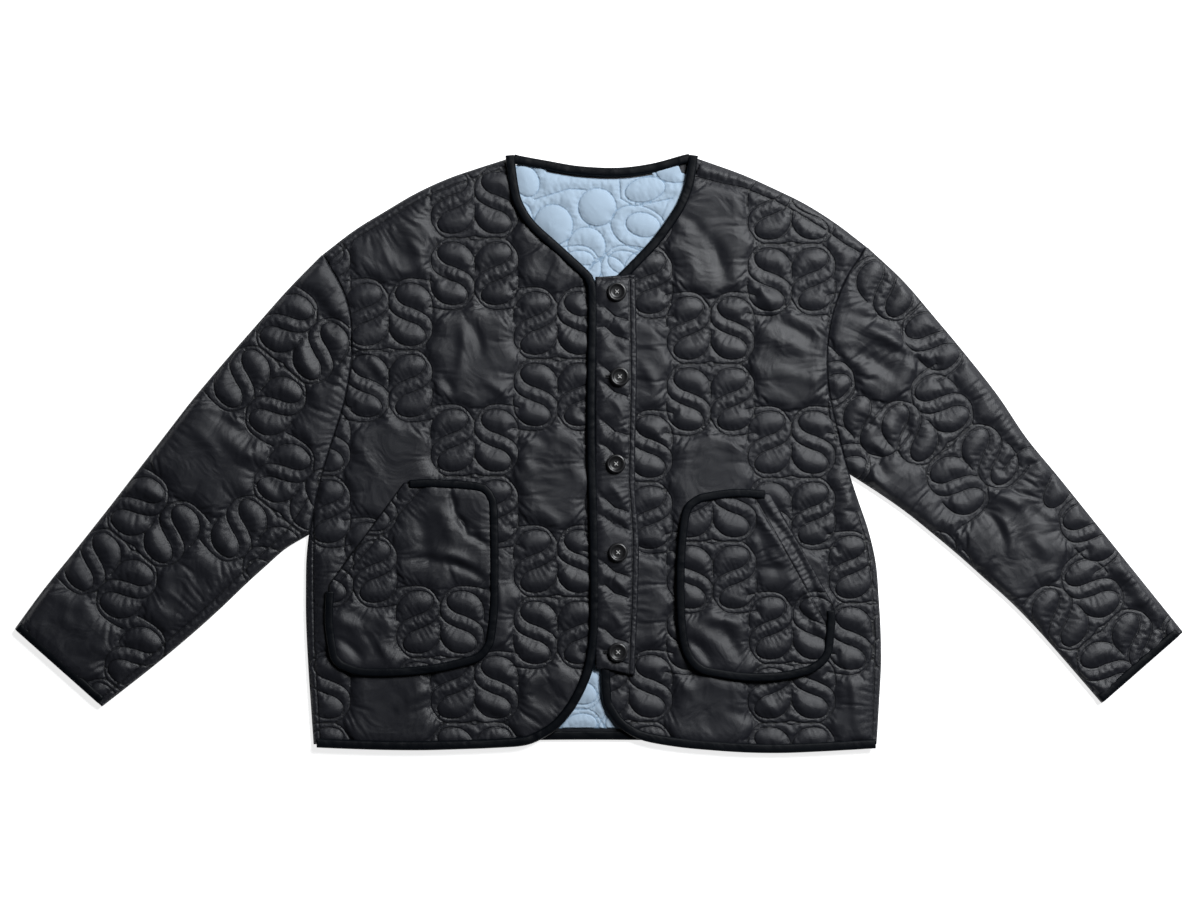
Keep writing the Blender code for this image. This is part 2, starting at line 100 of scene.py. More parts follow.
def smooth(points, step):
    # a curve through the points, cut into even short chords
    points = np.asarray(points, float)
    ends = np.vstack([2 * points[0] - points[1], points, 2 * points[-1] - points[-2]])
    fine = [points[0]]
    for p0, p1, p2, p3 in zip(ends, ends[1:], ends[2:], ends[3:]):
        for k in range(1, 9):
            t = k / 8
            fine.append(0.5 * (2 * p1 + (p2 - p0) * t + (2 * p0 - 5 * p1 + 4 * p2 - p3) * t**2
                               + (3 * p1 - p0 - 3 * p2 + p3) * t**3))
    return evenly(np.array(fine), step)


def evenly(line, step):
    marks = np.r_[0, np.cumsum(np.linalg.norm(np.diff(line, axis=0), axis=1))]
    count = max(3, int(round(marks[-1] / step)) + 1)
    stops = np.linspace(0, marks[-1], count)
    return np.column_stack([np.interp(stops, marks, line[:, k]) for k in range(line.shape[1])])


def runsOf(ring, step, sharp=math.radians(27)):
    # a ring as smooth runs between its corners
    turn = turnsOf(ring)
    corners = [k for k in range(len(ring)) if turn[k] > sharp]
    kept = []
    for k in range(len(ring)):
        near = min((np.linalg.norm(ring[k] - ring[c]) for c in corners), default=99.0)
        if k in corners or near > 5.0:
            kept.append((ring[k], k in corners))
    first = next((k for k, (_, isCorner) in enumerate(kept) if isCorner), 0)
    kept = kept[first:] + kept[:first] + [kept[first]]
    runs = []
    run = [kept[0][0]]
    for point, isCorner in kept[1:]:
        if np.linalg.norm(point - run[-1]) > 0.5:
            run.append(point)
        elif isCorner and len(run) > 1:
            run[-1] = point
        if isCorner and len(run) > 1:
            runs.append(smooth(run, step))
            run = [point]
    if len(run) > 1:
        runs.append(smooth(run, step))
    return runs


def ringFrom(runs):
    return np.vstack([run[:-1] for run in runs])


def shifted(line, distance):
    # a line moved to its left
    along = np.gradient(line[:, :2], axis=0)
    along /= np.linalg.norm(along, axis=1)[:, None]
    moved = line.copy()
    moved[:, 0] -= along[:, 1] * distance
    moved[:, 1] += along[:, 0] * distance
    return moved


def tapeEdge(node):
    # the folded edge of a binding, a little above its foot, with the tape on its left
    points, faces = welded(node)
    foot = points[:, 2].min()
    level = np.abs(points[:, 2] - foot - 1.3) < 0.06
    links = {}
    for face in faces:
        for k in range(3):
            a, b = int(face[k]), int(face[(k + 1) % 3])
            if level[a] and level[b]:
                links.setdefault(a, set()).add(b)
                links.setdefault(b, set()).add(a)
    start = min((a for a in links if len(links[a]) == 1), key=lambda a: tuple(points[a]))
    order = [start]
    while True:
        further = [b for b in links[order[-1]] if b not in order]
        if not further:
            break
        order.append(further[0])
    line = points[order][:, :2]
    middle = shifted(line, 8.0)[len(line) // 2]
    gap = np.linalg.norm(points[:, :2] - middle, axis=1).min()
    other = np.linalg.norm(points[:, :2] - shifted(line, -8.0)[len(line) // 2], axis=1).min()
    return line if gap < other else line[::-1]


def treeOf(points):
    tree = kdtree.KDTree(len(points))
    for k, p in enumerate(points):
        tree.insert((p[0], p[1], 0.0), k)
    tree.balance()
    return tree


def distancesTo(tree, points):
    return np.array([tree.find((p[0], p[1], 0.0))[2] for p in points])


# the quilting: two teardrops and the band that winds between them, turned and mirrored into blocks

leafCurve = [
    (-23.2, 34.0), (-13.5, 36.1), (-1.6, 37.2), (7.0, 36.1), (13.5, 32.4), (18.3, 26.4), (21.6, 20.5),
    (22.4, 13.5), (21.3, 7.0), (17.8, 1.9), (11.9, -2.2), (2.7, -6.5), (-5.9, -9.7), (-11.9, -14.0),
    (-15.3, -20.0), (-14.6, -25.4), (-10.8, -29.5), (-5.4, -31.4), (1.1, -31.9), (9.2, -30.2),
    (15.6, -25.9), (20.2, -20.0), (22.2, -13.5), (22.8, -7.0), (22.6, -2.4)]
motif = {"side": 22.4, "row": 36.5, "stitchStep": 1.4}
leaf = smooth(leafCurve, motif["stitchStep"])


def block(centre, down, scale=1.0):
    # one block of two rows; down is the way the cloth's grain runs
    down = np.array(down) / np.linalg.norm(down)
    across = np.array([-down[1], down[0]])
    lines = []
    for row in (0, 1):
        for side in (-1, 1):
            mirror = side if row else -side
            for flip in (1, -1):
                x = leaf[:, 0] * flip * mirror + side * motif["side"]
                y = leaf[:, 1] * flip + (motif["row"] if row == 0 else -motif["row"])
                lines.append(np.array(centre) + scale * (x[:, None] * across - y[:, None] * down))
    return lines


def lattice(start, toBelow, toBeside, down, ring):
    # every block of the repeat that can touch the ring
    low, high = ring.min(axis=0) - 90, ring.max(axis=0) + 90
    lines = []
    for i in range(-6, 7):
        for j in range(-6, 7):
            centre = np.array(start) + i * np.array(toBelow) + j * np.array(toBeside)
            if np.all(centre > low) and np.all(centre < high):
                lines += block(centre, down)
    return lines


# the cloth: a sheet of small triangles held at its stitches, grown a little and blown up

def sheetMesh(ring, lines, step, fine=None):
    rng = np.random.RandomState(cloth["seed"])
    fixed = np.vstack(lines) if lines else np.zeros((0, 2))
    low, high = ring.min(axis=0), ring.max(axis=0)
    edgeTree = treeOf(ring)
    if len(fixed):
        fixed = fixed[np.all((fixed > low) & (fixed < high), axis=1)]
        fixed = fixed[distancesTo(edgeTree, fixed) > 0.9]
        fixed = spacedOut(fixed, 0.8)
    held = treeOf(np.vstack([ring, fixed]))
    columns = np.arange(low[0], high[0], step)
    rows = np.arange(low[1], high[1], step * 0.866)
    x, y = np.meshgrid(columns, rows)
    x = x + (np.arange(len(rows)) % 2)[:, None] * step / 2
    free = np.column_stack([x.ravel(), y.ravel()])
    free += rng.uniform(-0.16, 0.16, free.shape) * step
    if fine is not None:
        coarse = np.array([fine(p) for p in free])
        free = free[coarse]
    gaps = distancesTo(held, free)
    free = free[gaps > 0.55 * step]
    points = np.vstack([ring, fixed, free])
    edge = list(range(len(ring)))
    made = geometry.delaunay_2d_cdt([Vector(p) for p in points], [], [edge], 1, 0.01)
    flat = np.array([tuple(v) for v in made[0]])
    faces = np.array([f for f in made[2] if len(f) == 3])
    source = np.array([min(o) if o else len(points) for o in made[3]])
    used = np.zeros(len(flat), bool)
    used[faces.ravel()] = True
    renumber = np.cumsum(used) - 1
    flat, faces, source = flat[used], renumber[faces], source[used]
    place = {int(s): k for k, s in enumerate(source)}
    edge = [place[k] if k in place else int(np.argmin(np.linalg.norm(flat - ring[k], axis=1)))
            for k in range(len(ring))]
    stitched = source < len(ring) + len(fixed)
    a, b, c = flat[faces[:, 0]], flat[faces[:, 1]], flat[faces[:, 2]]
    flipped = cross(b - a, c - a) < 0
    faces[flipped] = faces[flipped][:, ::-1]
    return flat, faces, edge, stitched


def spacedOut(points, least):
    # drops points closer together than this
    tree = treeOf(points)
    keep = np.ones(len(points), bool)
    for k, p in enumerate(points):
        if keep[k]:
            for _, other, _ in tree.find_range((p[0], p[1], 0.0), least):
                if other > k:
                    keep[other] = False
    return points[keep]


def settle(name, flat, faces, stitched, start, options):
    # cloth pinned at the stitches and blown up; returns the settled points in millimetres
    how = {**cloth, **options}
    held = treeOf(flat[stitched])
    gaps = distancesTo(held, flat)
    plain = np.clip((gaps - 7.0) / 9.0, 0.0, 1.0)
    rng = np.random.RandomState(how["seed"])
    height = start + np.where(stitched, 0.0, 0.45 * (1 - np.exp(-gaps / 2)) + rng.uniform(0, 0.25, len(flat)))
    mesh = bpy.data.meshes.new(name + "Flat")
    mesh.from_pydata((np.column_stack([flat, height]) * mm * simScale).tolist(), [], faces.tolist())
    piece = bpy.data.objects.new(name + "Flat", mesh)
    bpy.context.scene.collection.objects.link(piece)
    pins = piece.vertex_groups.new(name="held")
    pins.add(np.where(stitched)[0].tolist(), 1.0, "REPLACE")
    blown = piece.vertex_groups.new(name="blown")
    grown = piece.vertex_groups.new(name="grown")
    share = how["plainPressure"] + (1 - how["plainPressure"]) * (1 - plain)
    for level in range(11):
        chosen = np.where(np.round(plain * 10) == level)[0].tolist()
        if chosen:
            grown.add(chosen, level / 10, "REPLACE")
    for level in range(21):
        chosen = np.where(np.round(share * 20) == level)[0].tolist()
        if chosen:
            blown.add(chosen, level / 20, "REPLACE")
    solver = piece.modifiers.new("cloth", "CLOTH")
    s = solver.settings
    s.quality = 4
    s.mass = 0.3
    s.tension_stiffness = s.compression_stiffness = how["tension"]
    s.shear_stiffness = how["shear"]
    s.bending_stiffness = how["bending"]
    s.vertex_group_mass = "held"
    s.use_pressure = True
    s.uniform_pressure_force = how["pressure"]
    s.vertex_group_pressure = "blown"
    s.shrink_min = how["growStitched"]
    s.shrink_max = how["growPlain"]
    s.vertex_group_shrink = "grown"
    s.effector_weights.gravity = 0
    solver.collision_settings.use_collision = False
    solver.point_cache.frame_end = how["frames"]
    for number in range(1, how["frames"] + 1):
        bpy.context.scene.frame_set(number)
    settled = piece.evaluated_get(bpy.context.evaluated_depsgraph_get()).to_mesh()
    points = np.empty(len(settled.vertices) * 3)
    settled.vertices.foreach_get("co", points)
    points = points.reshape(-1, 3) / simScale / mm
    bpy.data.objects.remove(piece, do_unlink=True)
    bpy.data.meshes.remove(mesh)
    bpy.context.scene.frame_set(1)
    return points, gaps


def foldsAt(points, folds):
    # creases given one by one: each a line with a height, a width and soft ends
    rise = np.zeros(len(points))
    for x0, y0, x1, y1, height, width in folds:
        a, b = np.array([x0, y0], float), np.array([x1, y1], float)
        along = (b - a) / np.linalg.norm(b - a)
        length = np.linalg.norm(b - a)
        s = (points[:, :2] - a) @ along
        bow = 0.06 * length * np.sin(np.clip(s / length, 0, 1) * math.pi)
        off = (points[:, 0] - a[0]) * -along[1] + (points[:, 1] - a[1]) * along[0] - bow
        ends = np.clip(s / (0.35 * length), 0, 1) * np.clip((length - s) / (0.35 * length), 0, 1)
        rise += height * np.exp(-(off / width) ** 2) * ends**0.7
    return rise


def padFrom(name, flat, faces, edge, points, back, edgeBack, shade, gaps):
    # closes a settled sheet with a plain inner face; back and edgeBack are that face's heights
    ring = flat[edge]
    inner = insetRing(ring, 5.0)
    count = len(points)
    base = np.vstack([ring, inner])
    made = geometry.delaunay_2d_cdt([Vector(p) for p in base], [], [list(range(len(ring)))], 1, 0.01)
    backFlat = np.array([tuple(v) for v in made[0]])
    source = [o[0] if o else -1 for o in made[3]]
    edgeBack = np.broadcast_to(edgeBack, len(ring))
    height = np.array([edgeBack[k] if 0 <= k < len(ring) else back for k in source])
    place = {k: n for n, k in enumerate(source)}
    allPoints = np.vstack([points, np.column_stack([backFlat, height])])
    lookDown = back < points[:, 2].mean()
    triangles = [tuple(f) if lookDown else tuple(f[::-1]) for f in faces]
    for f in (tuple(f) for f in made[2] if len(f) == 3):
        a, b, c = (backFlat[k] for k in f)
        up = cross(b - a, c - a) > 0
        f = tuple(count + k for k in f)
        triangles.append(f[::-1] if up == lookDown else f)
    for k in range(len(ring)):
        n = (k + 1) % len(ring)
        a, b = edge[k], edge[n]
        c, d = count + place[n], count + place[k]
        quad = (b, a, d, c) if lookDown else (a, b, c, d)
        triangles.append(quad)
    piece = addPiece(name, allPoints, triangles, shade)
    mark(piece, gaps)
    return piece


def cross(a, b):
    return a[..., 0] * b[..., 1] - a[..., 1] * b[..., 0]


def mark(piece, gaps):
    # how far each point is from a stitch, for the materials
    values = np.full(len(piece.data.vertices), 20.0)
    values[:len(gaps)] = gaps
    piece.data.attributes.new("fromStitch", "FLOAT", "POINT").data.foreach_set("value", values)


def insetRing(ring, distance):
    closed = np.vstack([ring[-3:], ring, ring[:3]])
    moved = shifted(closed, distance)[3:-3]
    tree = treeOf(ring)
    keep = distancesTo(tree, moved) > distance * 0.93
    return spacedOut(moved[keep][::4], 3.0)


def addPiece(name, points, faces, shade, smoothAngle=None):
    mesh = bpy.data.meshes.new(name)
    mesh.from_pydata((np.asarray(points) * mm).tolist(), [], [tuple(int(k) for k in f) for f in faces])
    mesh.materials.append(shade)
    mesh.validate()
    piece = bpy.data.objects.new(name, mesh)
    bpy.context.scene.collection.objects.link(piece)
    mesh.shade_smooth()
    if smoothAngle:
        mesh.set_sharp_from_angle(angle=math.radians(smoothAngle))
    return piece


def joined(name, pieces, shade):
    points = []
    faces = []
    for piece in pieces:
        base = len(points)
        points += [tuple(v.co / mm) for v in piece.data.vertices]
        faces += [tuple(base + k for k in p.vertices) for p in piece.data.polygons]
        old = piece.data
        bpy.data.objects.remove(piece, do_unlink=True)
        bpy.data.meshes.remove(old)
    return addPiece(name, points, faces, shade)


def sweep(name, line, section, shade):
    # section rows are (left of the line, height); line rows may add a size factor
    along = np.gradient(line[:, :2], axis=0)
    along /= np.linalg.norm(along, axis=1)[:, None]
    left = np.column_stack([-along[:, 1], along[:, 0]])
    points = []
    size = len(section)
    for k, (x, y) in enumerate(line[:, :2]):
        factor = line[k, 2] if line.shape[1] > 2 else 1.0
        for side, height in section:
            centre = section[:, 1].mean()
            points.append((x + left[k, 0] * side, y + left[k, 1] * side, centre + (height - centre) * factor))
    faces = []
    for n in range(len(line) - 1):
        for k in range(size):
            m = (k + 1) % size
            faces.append((n * size + k, n * size + m, (n + 1) * size + m, (n + 1) * size + k))
    faces.append(tuple(range(size))[::-1])
    faces.append(tuple((len(line) - 1) * size + k for k in range(size)))
    return addPiece(name, points, faces, shade)


def tapeSection(width, low, high):
    # a folded tape: a soft rounded bar, fuller in its middle
    middle, half = (low + high) / 2, (high - low) / 2
    rows = []
    for k in range(24):
        a = math.tau * k / 24
        c, s = math.cos(a), math.sin(a)
        x = width / 2 * math.copysign(abs(c) ** 0.55, c)
        z = half * math.copysign(abs(s) ** 0.8, s)
        rows.append((width / 2 + x, middle + z))
    return np.array(rows)


# the shades: node groups built once, each material giving them its own values

def groupOf(name, inputs, outputs):
    group = bpy.data.node_groups.new(name, "ShaderNodeTree")
    for label, kind, value in inputs:
        socket = group.interface.new_socket(label, in_out="INPUT", socket_type=kind)
        if value is not None:
            socket.default_value = value
    for label, kind in outputs:
        group.interface.new_socket(label, in_out="OUTPUT", socket_type=kind)
    return group, group.nodes.new("NodeGroupInput"), group.nodes.new("NodeGroupOutput")


def put(tree, kind, values=None, **settings):
    node = tree.nodes.new(kind)
    for key, value in settings.items():
        setattr(node, key, value)
    for key, value in (values or {}).items():
        if isinstance(value, bpy.types.NodeSocket):
            tree.links.new(value, node.inputs[key])
        else:
            node.inputs[key].default_value = value
    return node


def weaveGroup():
    # a plain weave in the cloth's own plane: over and under threads, a little uneven
    group, taken, given = groupOf("weave", [("Thread", "NodeSocketFloat", 0.5),
                                            ("Unevenness", "NodeSocketFloat", 0.3)],
                                  [("Height", "NodeSocketFloat"), ("Fleck", "NodeSocketFloat")])
    place = put(group, "ShaderNodeTexCoord").outputs["Object"]
    wobble = put(group, "ShaderNodeTexNoise", {"Vector": place, "Scale": 90.0, "Detail": 2.0})
    offset = put(group, "ShaderNodeVectorMath", {0: wobble.outputs["Color"], 1: (0.0006, 0.0006, 0.0)},
                 operation="MULTIPLY")
    moved = put(group, "ShaderNodeVectorMath", {0: place, 1: offset.outputs[0]}, operation="ADD")
    pitch = put(group, "ShaderNodeMath", {0: 3141.59, 1: taken.outputs["Thread"]}, operation="DIVIDE")
    scaled = put(group, "ShaderNodeVectorMath", {0: moved.outputs[0], "Scale": pitch.outputs[0]},
                 operation="SCALE")
    parts = put(group, "ShaderNodeSeparateXYZ", {0: scaled.outputs[0]})
    warp = put(group, "ShaderNodeMath", {0: parts.outputs["X"]}, operation="SINE")
    weft = put(group, "ShaderNodeMath", {0: parts.outputs["Y"]}, operation="SINE")
    height = put(group, "ShaderNodeMath", {0: warp.outputs[0], 1: weft.outputs[0]}, operation="MULTIPLY")
    fleck = put(group, "ShaderNodeTexNoise", {"Vector": place, "Scale": 700.0, "Detail": 3.0})
    mixed = put(group, "ShaderNodeMath", {0: fleck.outputs[0], 1: taken.outputs["Unevenness"],
                                          2: height.outputs[0]}, operation="MULTIPLY_ADD")
    group.links.new(mixed.outputs[0], given.inputs["Height"])
    group.links.new(fleck.outputs[0], given.inputs["Fleck"])
    return group


def clothGroup():
    # slow change of colour and sheen, darker needle holes along the stitches, paler worn ridges, and painted
    # shade that darkens creases and hollows, found from the mesh's pointiness
    group, taken, given = groupOf("clothTone", [("Colour", "NodeSocketColor", (0, 0, 0, 1)),
                                                ("Worn", "NodeSocketColor", (0, 0, 0, 1)),
                                                ("Thread", "NodeSocketColor", (0, 0, 0, 1)),
                                                ("Rough", "NodeSocketFloat", 0.5),
                                                ("Drift", "NodeSocketFloat", 0.1),
                                                ("Wear", "NodeSocketFloat", 0.2)],
                                  [("Colour", "NodeSocketColor"), ("Rough", "NodeSocketFloat"),
                                   ("Groove", "NodeSocketFloat"), ("Pucker", "NodeSocketFloat")])
    place = put(group, "ShaderNodeTexCoord").outputs["Object"]
    gap = put(group, "ShaderNodeAttribute", attribute_name="fromStitch").outputs["Fac"]
    line = put(group, "ShaderNodeMapRange", {"Value": gap, 1: 0.15, 2: 0.75, 3: 1.0, 4: 0.0})
    dots = put(group, "ShaderNodeTexNoise", {"Vector": place, "Scale": 430.0, "Detail": 0.0})
    dashes = put(group, "ShaderNodeMapRange", {"Value": dots.outputs[0], 1: 0.42, 2: 0.5, 3: 0.35, 4: 1.0})
    stitch = put(group, "ShaderNodeMath", {0: line.outputs[0], 1: dashes.outputs[0]}, operation="MULTIPLY")
    groove = put(group, "ShaderNodeMapRange", {"Value": gap, 1: 0.0, 2: 1.7, 3: 0.0, 4: 1.0},
                 interpolation_type="SMOOTHSTEP")
    near = put(group, "ShaderNodeMapRange", {"Value": gap, 1: 0.0, 2: 5.0, 3: 0.7, 4: 0.0})
    ruck = put(group, "ShaderNodeTexNoise", {"Vector": place, "Scale": 190.0, "Detail": 1.0})
    fineRuck = put(group, "ShaderNodeMath", {0: near.outputs[0], 1: ruck.outputs[0]}, operation="MULTIPLY")
    crease = put(group, "ShaderNodeTexNoise", {"Vector": place, "Scale": 26.0, "Detail": 2.5,
                                               "Distortion": 1.2})
    openness = put(group, "ShaderNodeMapRange", {"Value": gap, 1: 3.0, 2: 16.0, 3: 0.6, 4: 3.0})
    pucker = put(group, "ShaderNodeMath", {0: crease.outputs[0], 1: openness.outputs[0],
                                           2: fineRuck.outputs[0]}, operation="MULTIPLY_ADD")
    slow = put(group, "ShaderNodeTexNoise", {"Vector": place, "Scale": 9.0, "Detail": 4.0})
    level = put(group, "ShaderNodeMapRange", {"Value": slow.outputs[0], 1: 0.3, 2: 0.7, 3: -1.0, 4: 1.0})
    drift = put(group, "ShaderNodeMath", {0: level.outputs[0], 1: taken.outputs["Drift"], 2: 1.0},
                operation="MULTIPLY_ADD")
    toned = put(group, "ShaderNodeVectorMath", {0: taken.outputs["Colour"], "Scale": drift.outputs[0]},
                operation="SCALE")
    ridge = put(group, "ShaderNodeNewGeometry").outputs["Pointiness"]
    raised = put(group, "ShaderNodeMapRange", {"Value": ridge, 1: 0.5, 2: 0.62, 3: 0.0, 4: 1.0})
    amount = put(group, "ShaderNodeMath", {0: raised.outputs[0], 1: taken.outputs["Wear"]},
                 operation="MULTIPLY")
    worn = put(group, "ShaderNodeMix", {0: amount.outputs[0], 6: toned.outputs[0],
                                        7: taken.outputs["Worn"]}, data_type="RGBA")
    # painted shade: where the surface curves inward (low pointiness) the colour goes towards the dark Thread
    # colour, as shade in a crease would
    paintedCreaseShade = put(group, "ShaderNodeMapRange", {"Value": ridge, 1: 0.36, 2: 0.49, 3: 0.8, 4: 0.0})
    darker = put(group, "ShaderNodeMath", {0: stitch.outputs[0], 1: paintedCreaseShade.outputs[0]}, operation="MAXIMUM")
    # the needle holes and the painted crease shade both take the Thread colour
    stitchedAndShaded = put(group, "ShaderNodeMix", {0: darker.outputs[0], 6: worn.outputs[2],
                                            7: taken.outputs["Thread"]}, data_type="RGBA")
    rough = put(group, "ShaderNodeMath", {0: level.outputs[0], 1: 0.05, 2: taken.outputs["Rough"]},
                operation="MULTIPLY_ADD")
    group.links.new(stitchedAndShaded.outputs[2], given.inputs["Colour"])
    group.links.new(rough.outputs[0], given.inputs["Rough"])
    group.links.new(groove.outputs[0], given.inputs["Groove"])
    group.links.new(pucker.outputs[0], given.inputs["Pucker"])
    return group


weave = weaveGroup()
clothTone = clothGroup()


# Thread is the colour of the needle holes and also of the painted shade in creases and hollows
shades = {
    "quiltCloth": {"Colour": (0.0095, 0.0102, 0.0145), "Worn": (0.016, 0.017, 0.022),
                   "Thread": (0.0025, 0.003, 0.004), "Rough": 0.48, "Drift": 0.12, "Wear": 0.2,
                   "fibre": 0.5, "specular": 0.5},
    "liningCloth": {"Colour": (0.44, 0.56, 0.69), "Worn": (0.48, 0.60, 0.73),
                    "Thread": (0.26, 0.37, 0.50), "Rough": 0.75, "Drift": 0.08, "Wear": 0.2,
                    "fibre": 0.55, "specular": 0.25},
    "bindingTape": {"Colour": (0.0022, 0.0032, 0.005), "Worn": (0.005, 0.006, 0.009),
                    "Thread": (0.001, 0.002, 0.003), "Rough": 0.5, "Drift": 0.12, "Wear": 0.2,
                    "fibre": 0.7, "specular": 0.12},
    "darkThread": {"Colour": (0.012, 0.013, 0.016), "Worn": (0.02, 0.021, 0.025),
                   "Thread": (0.01, 0.01, 0.012), "Rough": 0.6, "Drift": 0.12, "Wear": 0.2,
                   "fibre": 0.3, "specular": 0.5},
    "paleThread": {"Colour": (0.50, 0.50, 0.49), "Worn": (0.55, 0.55, 0.54),
                   "Thread": (0.2, 0.2, 0.2), "Rough": 0.6, "Drift": 0.12, "Wear": 0.2,
                   "fibre": 0.3, "specular": 0.5},
    "buttonResin": {"Colour": (0.006, 0.006, 0.007), "Worn": (0.03, 0.03, 0.032),
                    "Thread": (0.006, 0.006, 0.007), "Rough": 0.36, "Drift": 0.3, "Wear": 0.4},
}


def toned(name):
    # a new material whose colour and roughness come from the shared tone
    shade = bpy.data.materials.new(name)
    shade.use_nodes = True
    tree = shade.node_tree
    shader = tree.nodes["Principled BSDF"]
    tone = put(tree, "ShaderNodeGroup", node_tree=clothTone)
    for key in ("Rough", "Drift", "Wear"):
        tone.inputs[key].default_value = shades[name][key]
    for key in ("Colour", "Worn", "Thread"):
        tone.inputs[key].default_value = (*shades[name][key], 1)
    tree.links.new(tone.outputs["Colour"], shader.inputs["Base Color"])
    tree.links.new(tone.outputs["Rough"], shader.inputs["Roughness"])
    return shade, shader, tone


def clothShade(name):
    shade, shader, tone = toned(name)
    tree = shade.node_tree
    shader.inputs["Specular IOR Level"].default_value = shades[name]["specular"]
    fabric = put(tree, "ShaderNodeGroup", node_tree=weave)
    fabric.inputs["Thread"].default_value = shades[name]["fibre"]
    low = put(tree, "ShaderNodeBump", {"Height": tone.outputs["Pucker"], "Distance": 0.002, "Strength": 0.35})
    dip = put(tree, "ShaderNodeBump", {"Height": tone.outputs["Groove"], "Distance": 0.001, "Strength": 0.6,
                                       "Normal": low.outputs[0]})
    fine = put(tree, "ShaderNodeBump", {"Height": fabric.outputs["Height"], "Distance": 0.00012,
                                        "Strength": 0.35, "Normal": dip.outputs[0]})
    tree.links.new(fine.outputs[0], shader.inputs["Normal"])
    return shade


def resinShade(name):
    shade, shader, _ = toned(name)
    shader.inputs["Coat Weight"].default_value = 0.6
    shader.inputs["Coat Roughness"].default_value = 0.32
    return shade


shell = clothShade("quiltCloth")
liningShade = clothShade("liningCloth")
bindingShade = clothShade("bindingTape")
threadShade = clothShade("darkThread")
paleThread = clothShade("paleThread")
buttonShade = resinShade("buttonResin")


# the panels

def finished(piece, node):
    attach(piece, "root")
    if node:
        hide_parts(node)
    return piece


def capped(points, faces, level, most, folds=(), gaps=None):
    # lowers the broad swell of the cloth and keeps the folds that lie on it
    rise = points[:, 2] - level
    pairs = np.vstack([faces[:, [0, 1]], faces[:, [1, 2]], faces[:, [2, 0]]])
    pairs = np.unique(np.sort(pairs, axis=1), axis=0)
    a, b = pairs[:, 0], pairs[:, 1]
    count = np.bincount(np.r_[a, b], minlength=len(points)) + 1
    swell = rise.copy()
    for _ in range(45):
        swell = (swell + np.bincount(np.r_[a, b], np.r_[swell[b], swell[a]], len(points))) / count
    swell = np.maximum(swell, 0.01)
    plain = np.clip((gaps - 6.0) / 10.0, 0.0, 1.0)
    most = most * (0.72 + 0.1 * plain)
    height = most * np.tanh(swell / most) + (rise - swell) * np.clip(most / swell, 0.0, 1.0) ** 0.35
    height = np.maximum(height, 0) + foldsAt(points, folds)
    return np.column_stack([points[:, :2], level + np.maximum(height, -1.2)])


def insideRing(points, ring):
    # winding test, for many points at once
    x, y = points[:, 0], points[:, 1]
    hits = np.zeros(len(points), bool)
    for (x0, y0), (x1, y1) in zip(ring, np.roll(ring, -1, axis=0)):
        crosses = (y0 > y) != (y1 > y)
        with np.errstate(divide="ignore", invalid="ignore"):
            at = x0 + (y - y0) / (y1 - y0) * (x1 - x0)
        hits ^= crosses & (x < at)
    return hits


def edgeDrop(points, ring, chosen, to, reach=3.0):
    # rounds a folded edge over: points near it come down to the height given
    near = distancesTo(treeOf(ring[chosen]), points)
    share = np.exp(-(near / reach) ** 1.5)
    return points[:, 2] * (1 - share) + to * share


def straight(*points):
    return evenly(np.array(points, float), 1.4)


rings = {name: ringFrom(runsOf(outlineOf(name), 1.5))
         for name in ("front_right", "front_left", "back", "lining_back", "placket", "pocket_right",
                      "pocket_left")}


def reaching(ring, picked, target, within):
    # the picked points go out to the nearest ones of another ring
    tree = treeOf(target)
    moved = []
    for point, wanted in zip(ring, picked):
        place, _, far = tree.find((point[0], point[1], 0))
        point = np.array(place[:2]) if wanted and far < within else point
        if not moved or np.linalg.norm(point - moved[-1]) > 0.8:
            moved.append(point)
    return np.array(moved)


rings["placket"][rings["placket"][:, 0] < 4, 0] -= 5.5
x, y = rings["front_left"].T
shoulderAndSide = ((x > 100) & (y > 203)) | ((x > 258) & (y < -30))
rings["front_left"] = reaching(rings["front_left"], shoulderAndSide, rings["back"], 20.0)
x, y = rings["lining_back"].T
neckCorners = (y > 283) & (np.abs(x) > 55)
rings["lining_back"] = reaching(rings["lining_back"], neckCorners, rings["back"], 14.0)
panel = {"level": 7.4, "most": 3.0, "inner": 5.5, "step": 2.0, "under": 10.1, "fold": 5.2,
         "foldInner": 4.9}
frontBlocks = [
    (-300, 221), (-300, -23), (-300, -276), (-216, 106), (-216, -139), (-128, 221), (-128, -23),
    (-128, -276), (-43, 97), (-43, -147), (30, 212), (30, -29), (30, -275), (114, 92), (114, -153),
    (197, 215), (197, -25), (197, -276), (280, 92), (280, -153)]


def quilted(name, node, lines, sizes, folds=(), below=(), foldEdges=()):
    # one quilted panel, from its solid's outline; below names the pieces that lie on it
    ring = rings[node]
    flat, faces, edge, stitched = sheetMesh(ring, lines, sizes["step"])
    points, gaps = settle(name, flat, faces, stitched, sizes["level"], {})
    points = capped(points, faces, sizes["level"], sizes["most"], folds, gaps)
    for covering in below:
        points[:, 2] = pressedUnder(points, covering, sizes["under"])
    innerEdge = np.full(len(ring), sizes["inner"])
    for picked in foldEdges:
        points[:, 2] = edgeDrop(points, ring, picked, sizes["fold"])
        innerEdge[picked] = sizes["foldInner"]
    innerEdge = np.minimum(innerEdge, points[edge, 2] - 0.05)
    piece = padFrom(name, flat, faces, edge, points, sizes["inner"], innerEdge, shell, gaps)
    return finished(piece, node)


def pressedUnder(points, covering, low, blend=5.0):
    # heights of a panel kept below what lies on it
    ring = rings[covering]
    away = distancesTo(treeOf(ring), points)
    share = np.where(insideRing(points, ring), 1.0, np.clip(1 - away / blend, 0, 1))
    return points[:, 2] * (1 - share) + np.minimum(points[:, 2], low) * share


def blocksAt(centres, down=(0, -1), scale=1.0):
    lines = []
    for centre in centres:
        lines += block(centre, down, scale)
    return lines


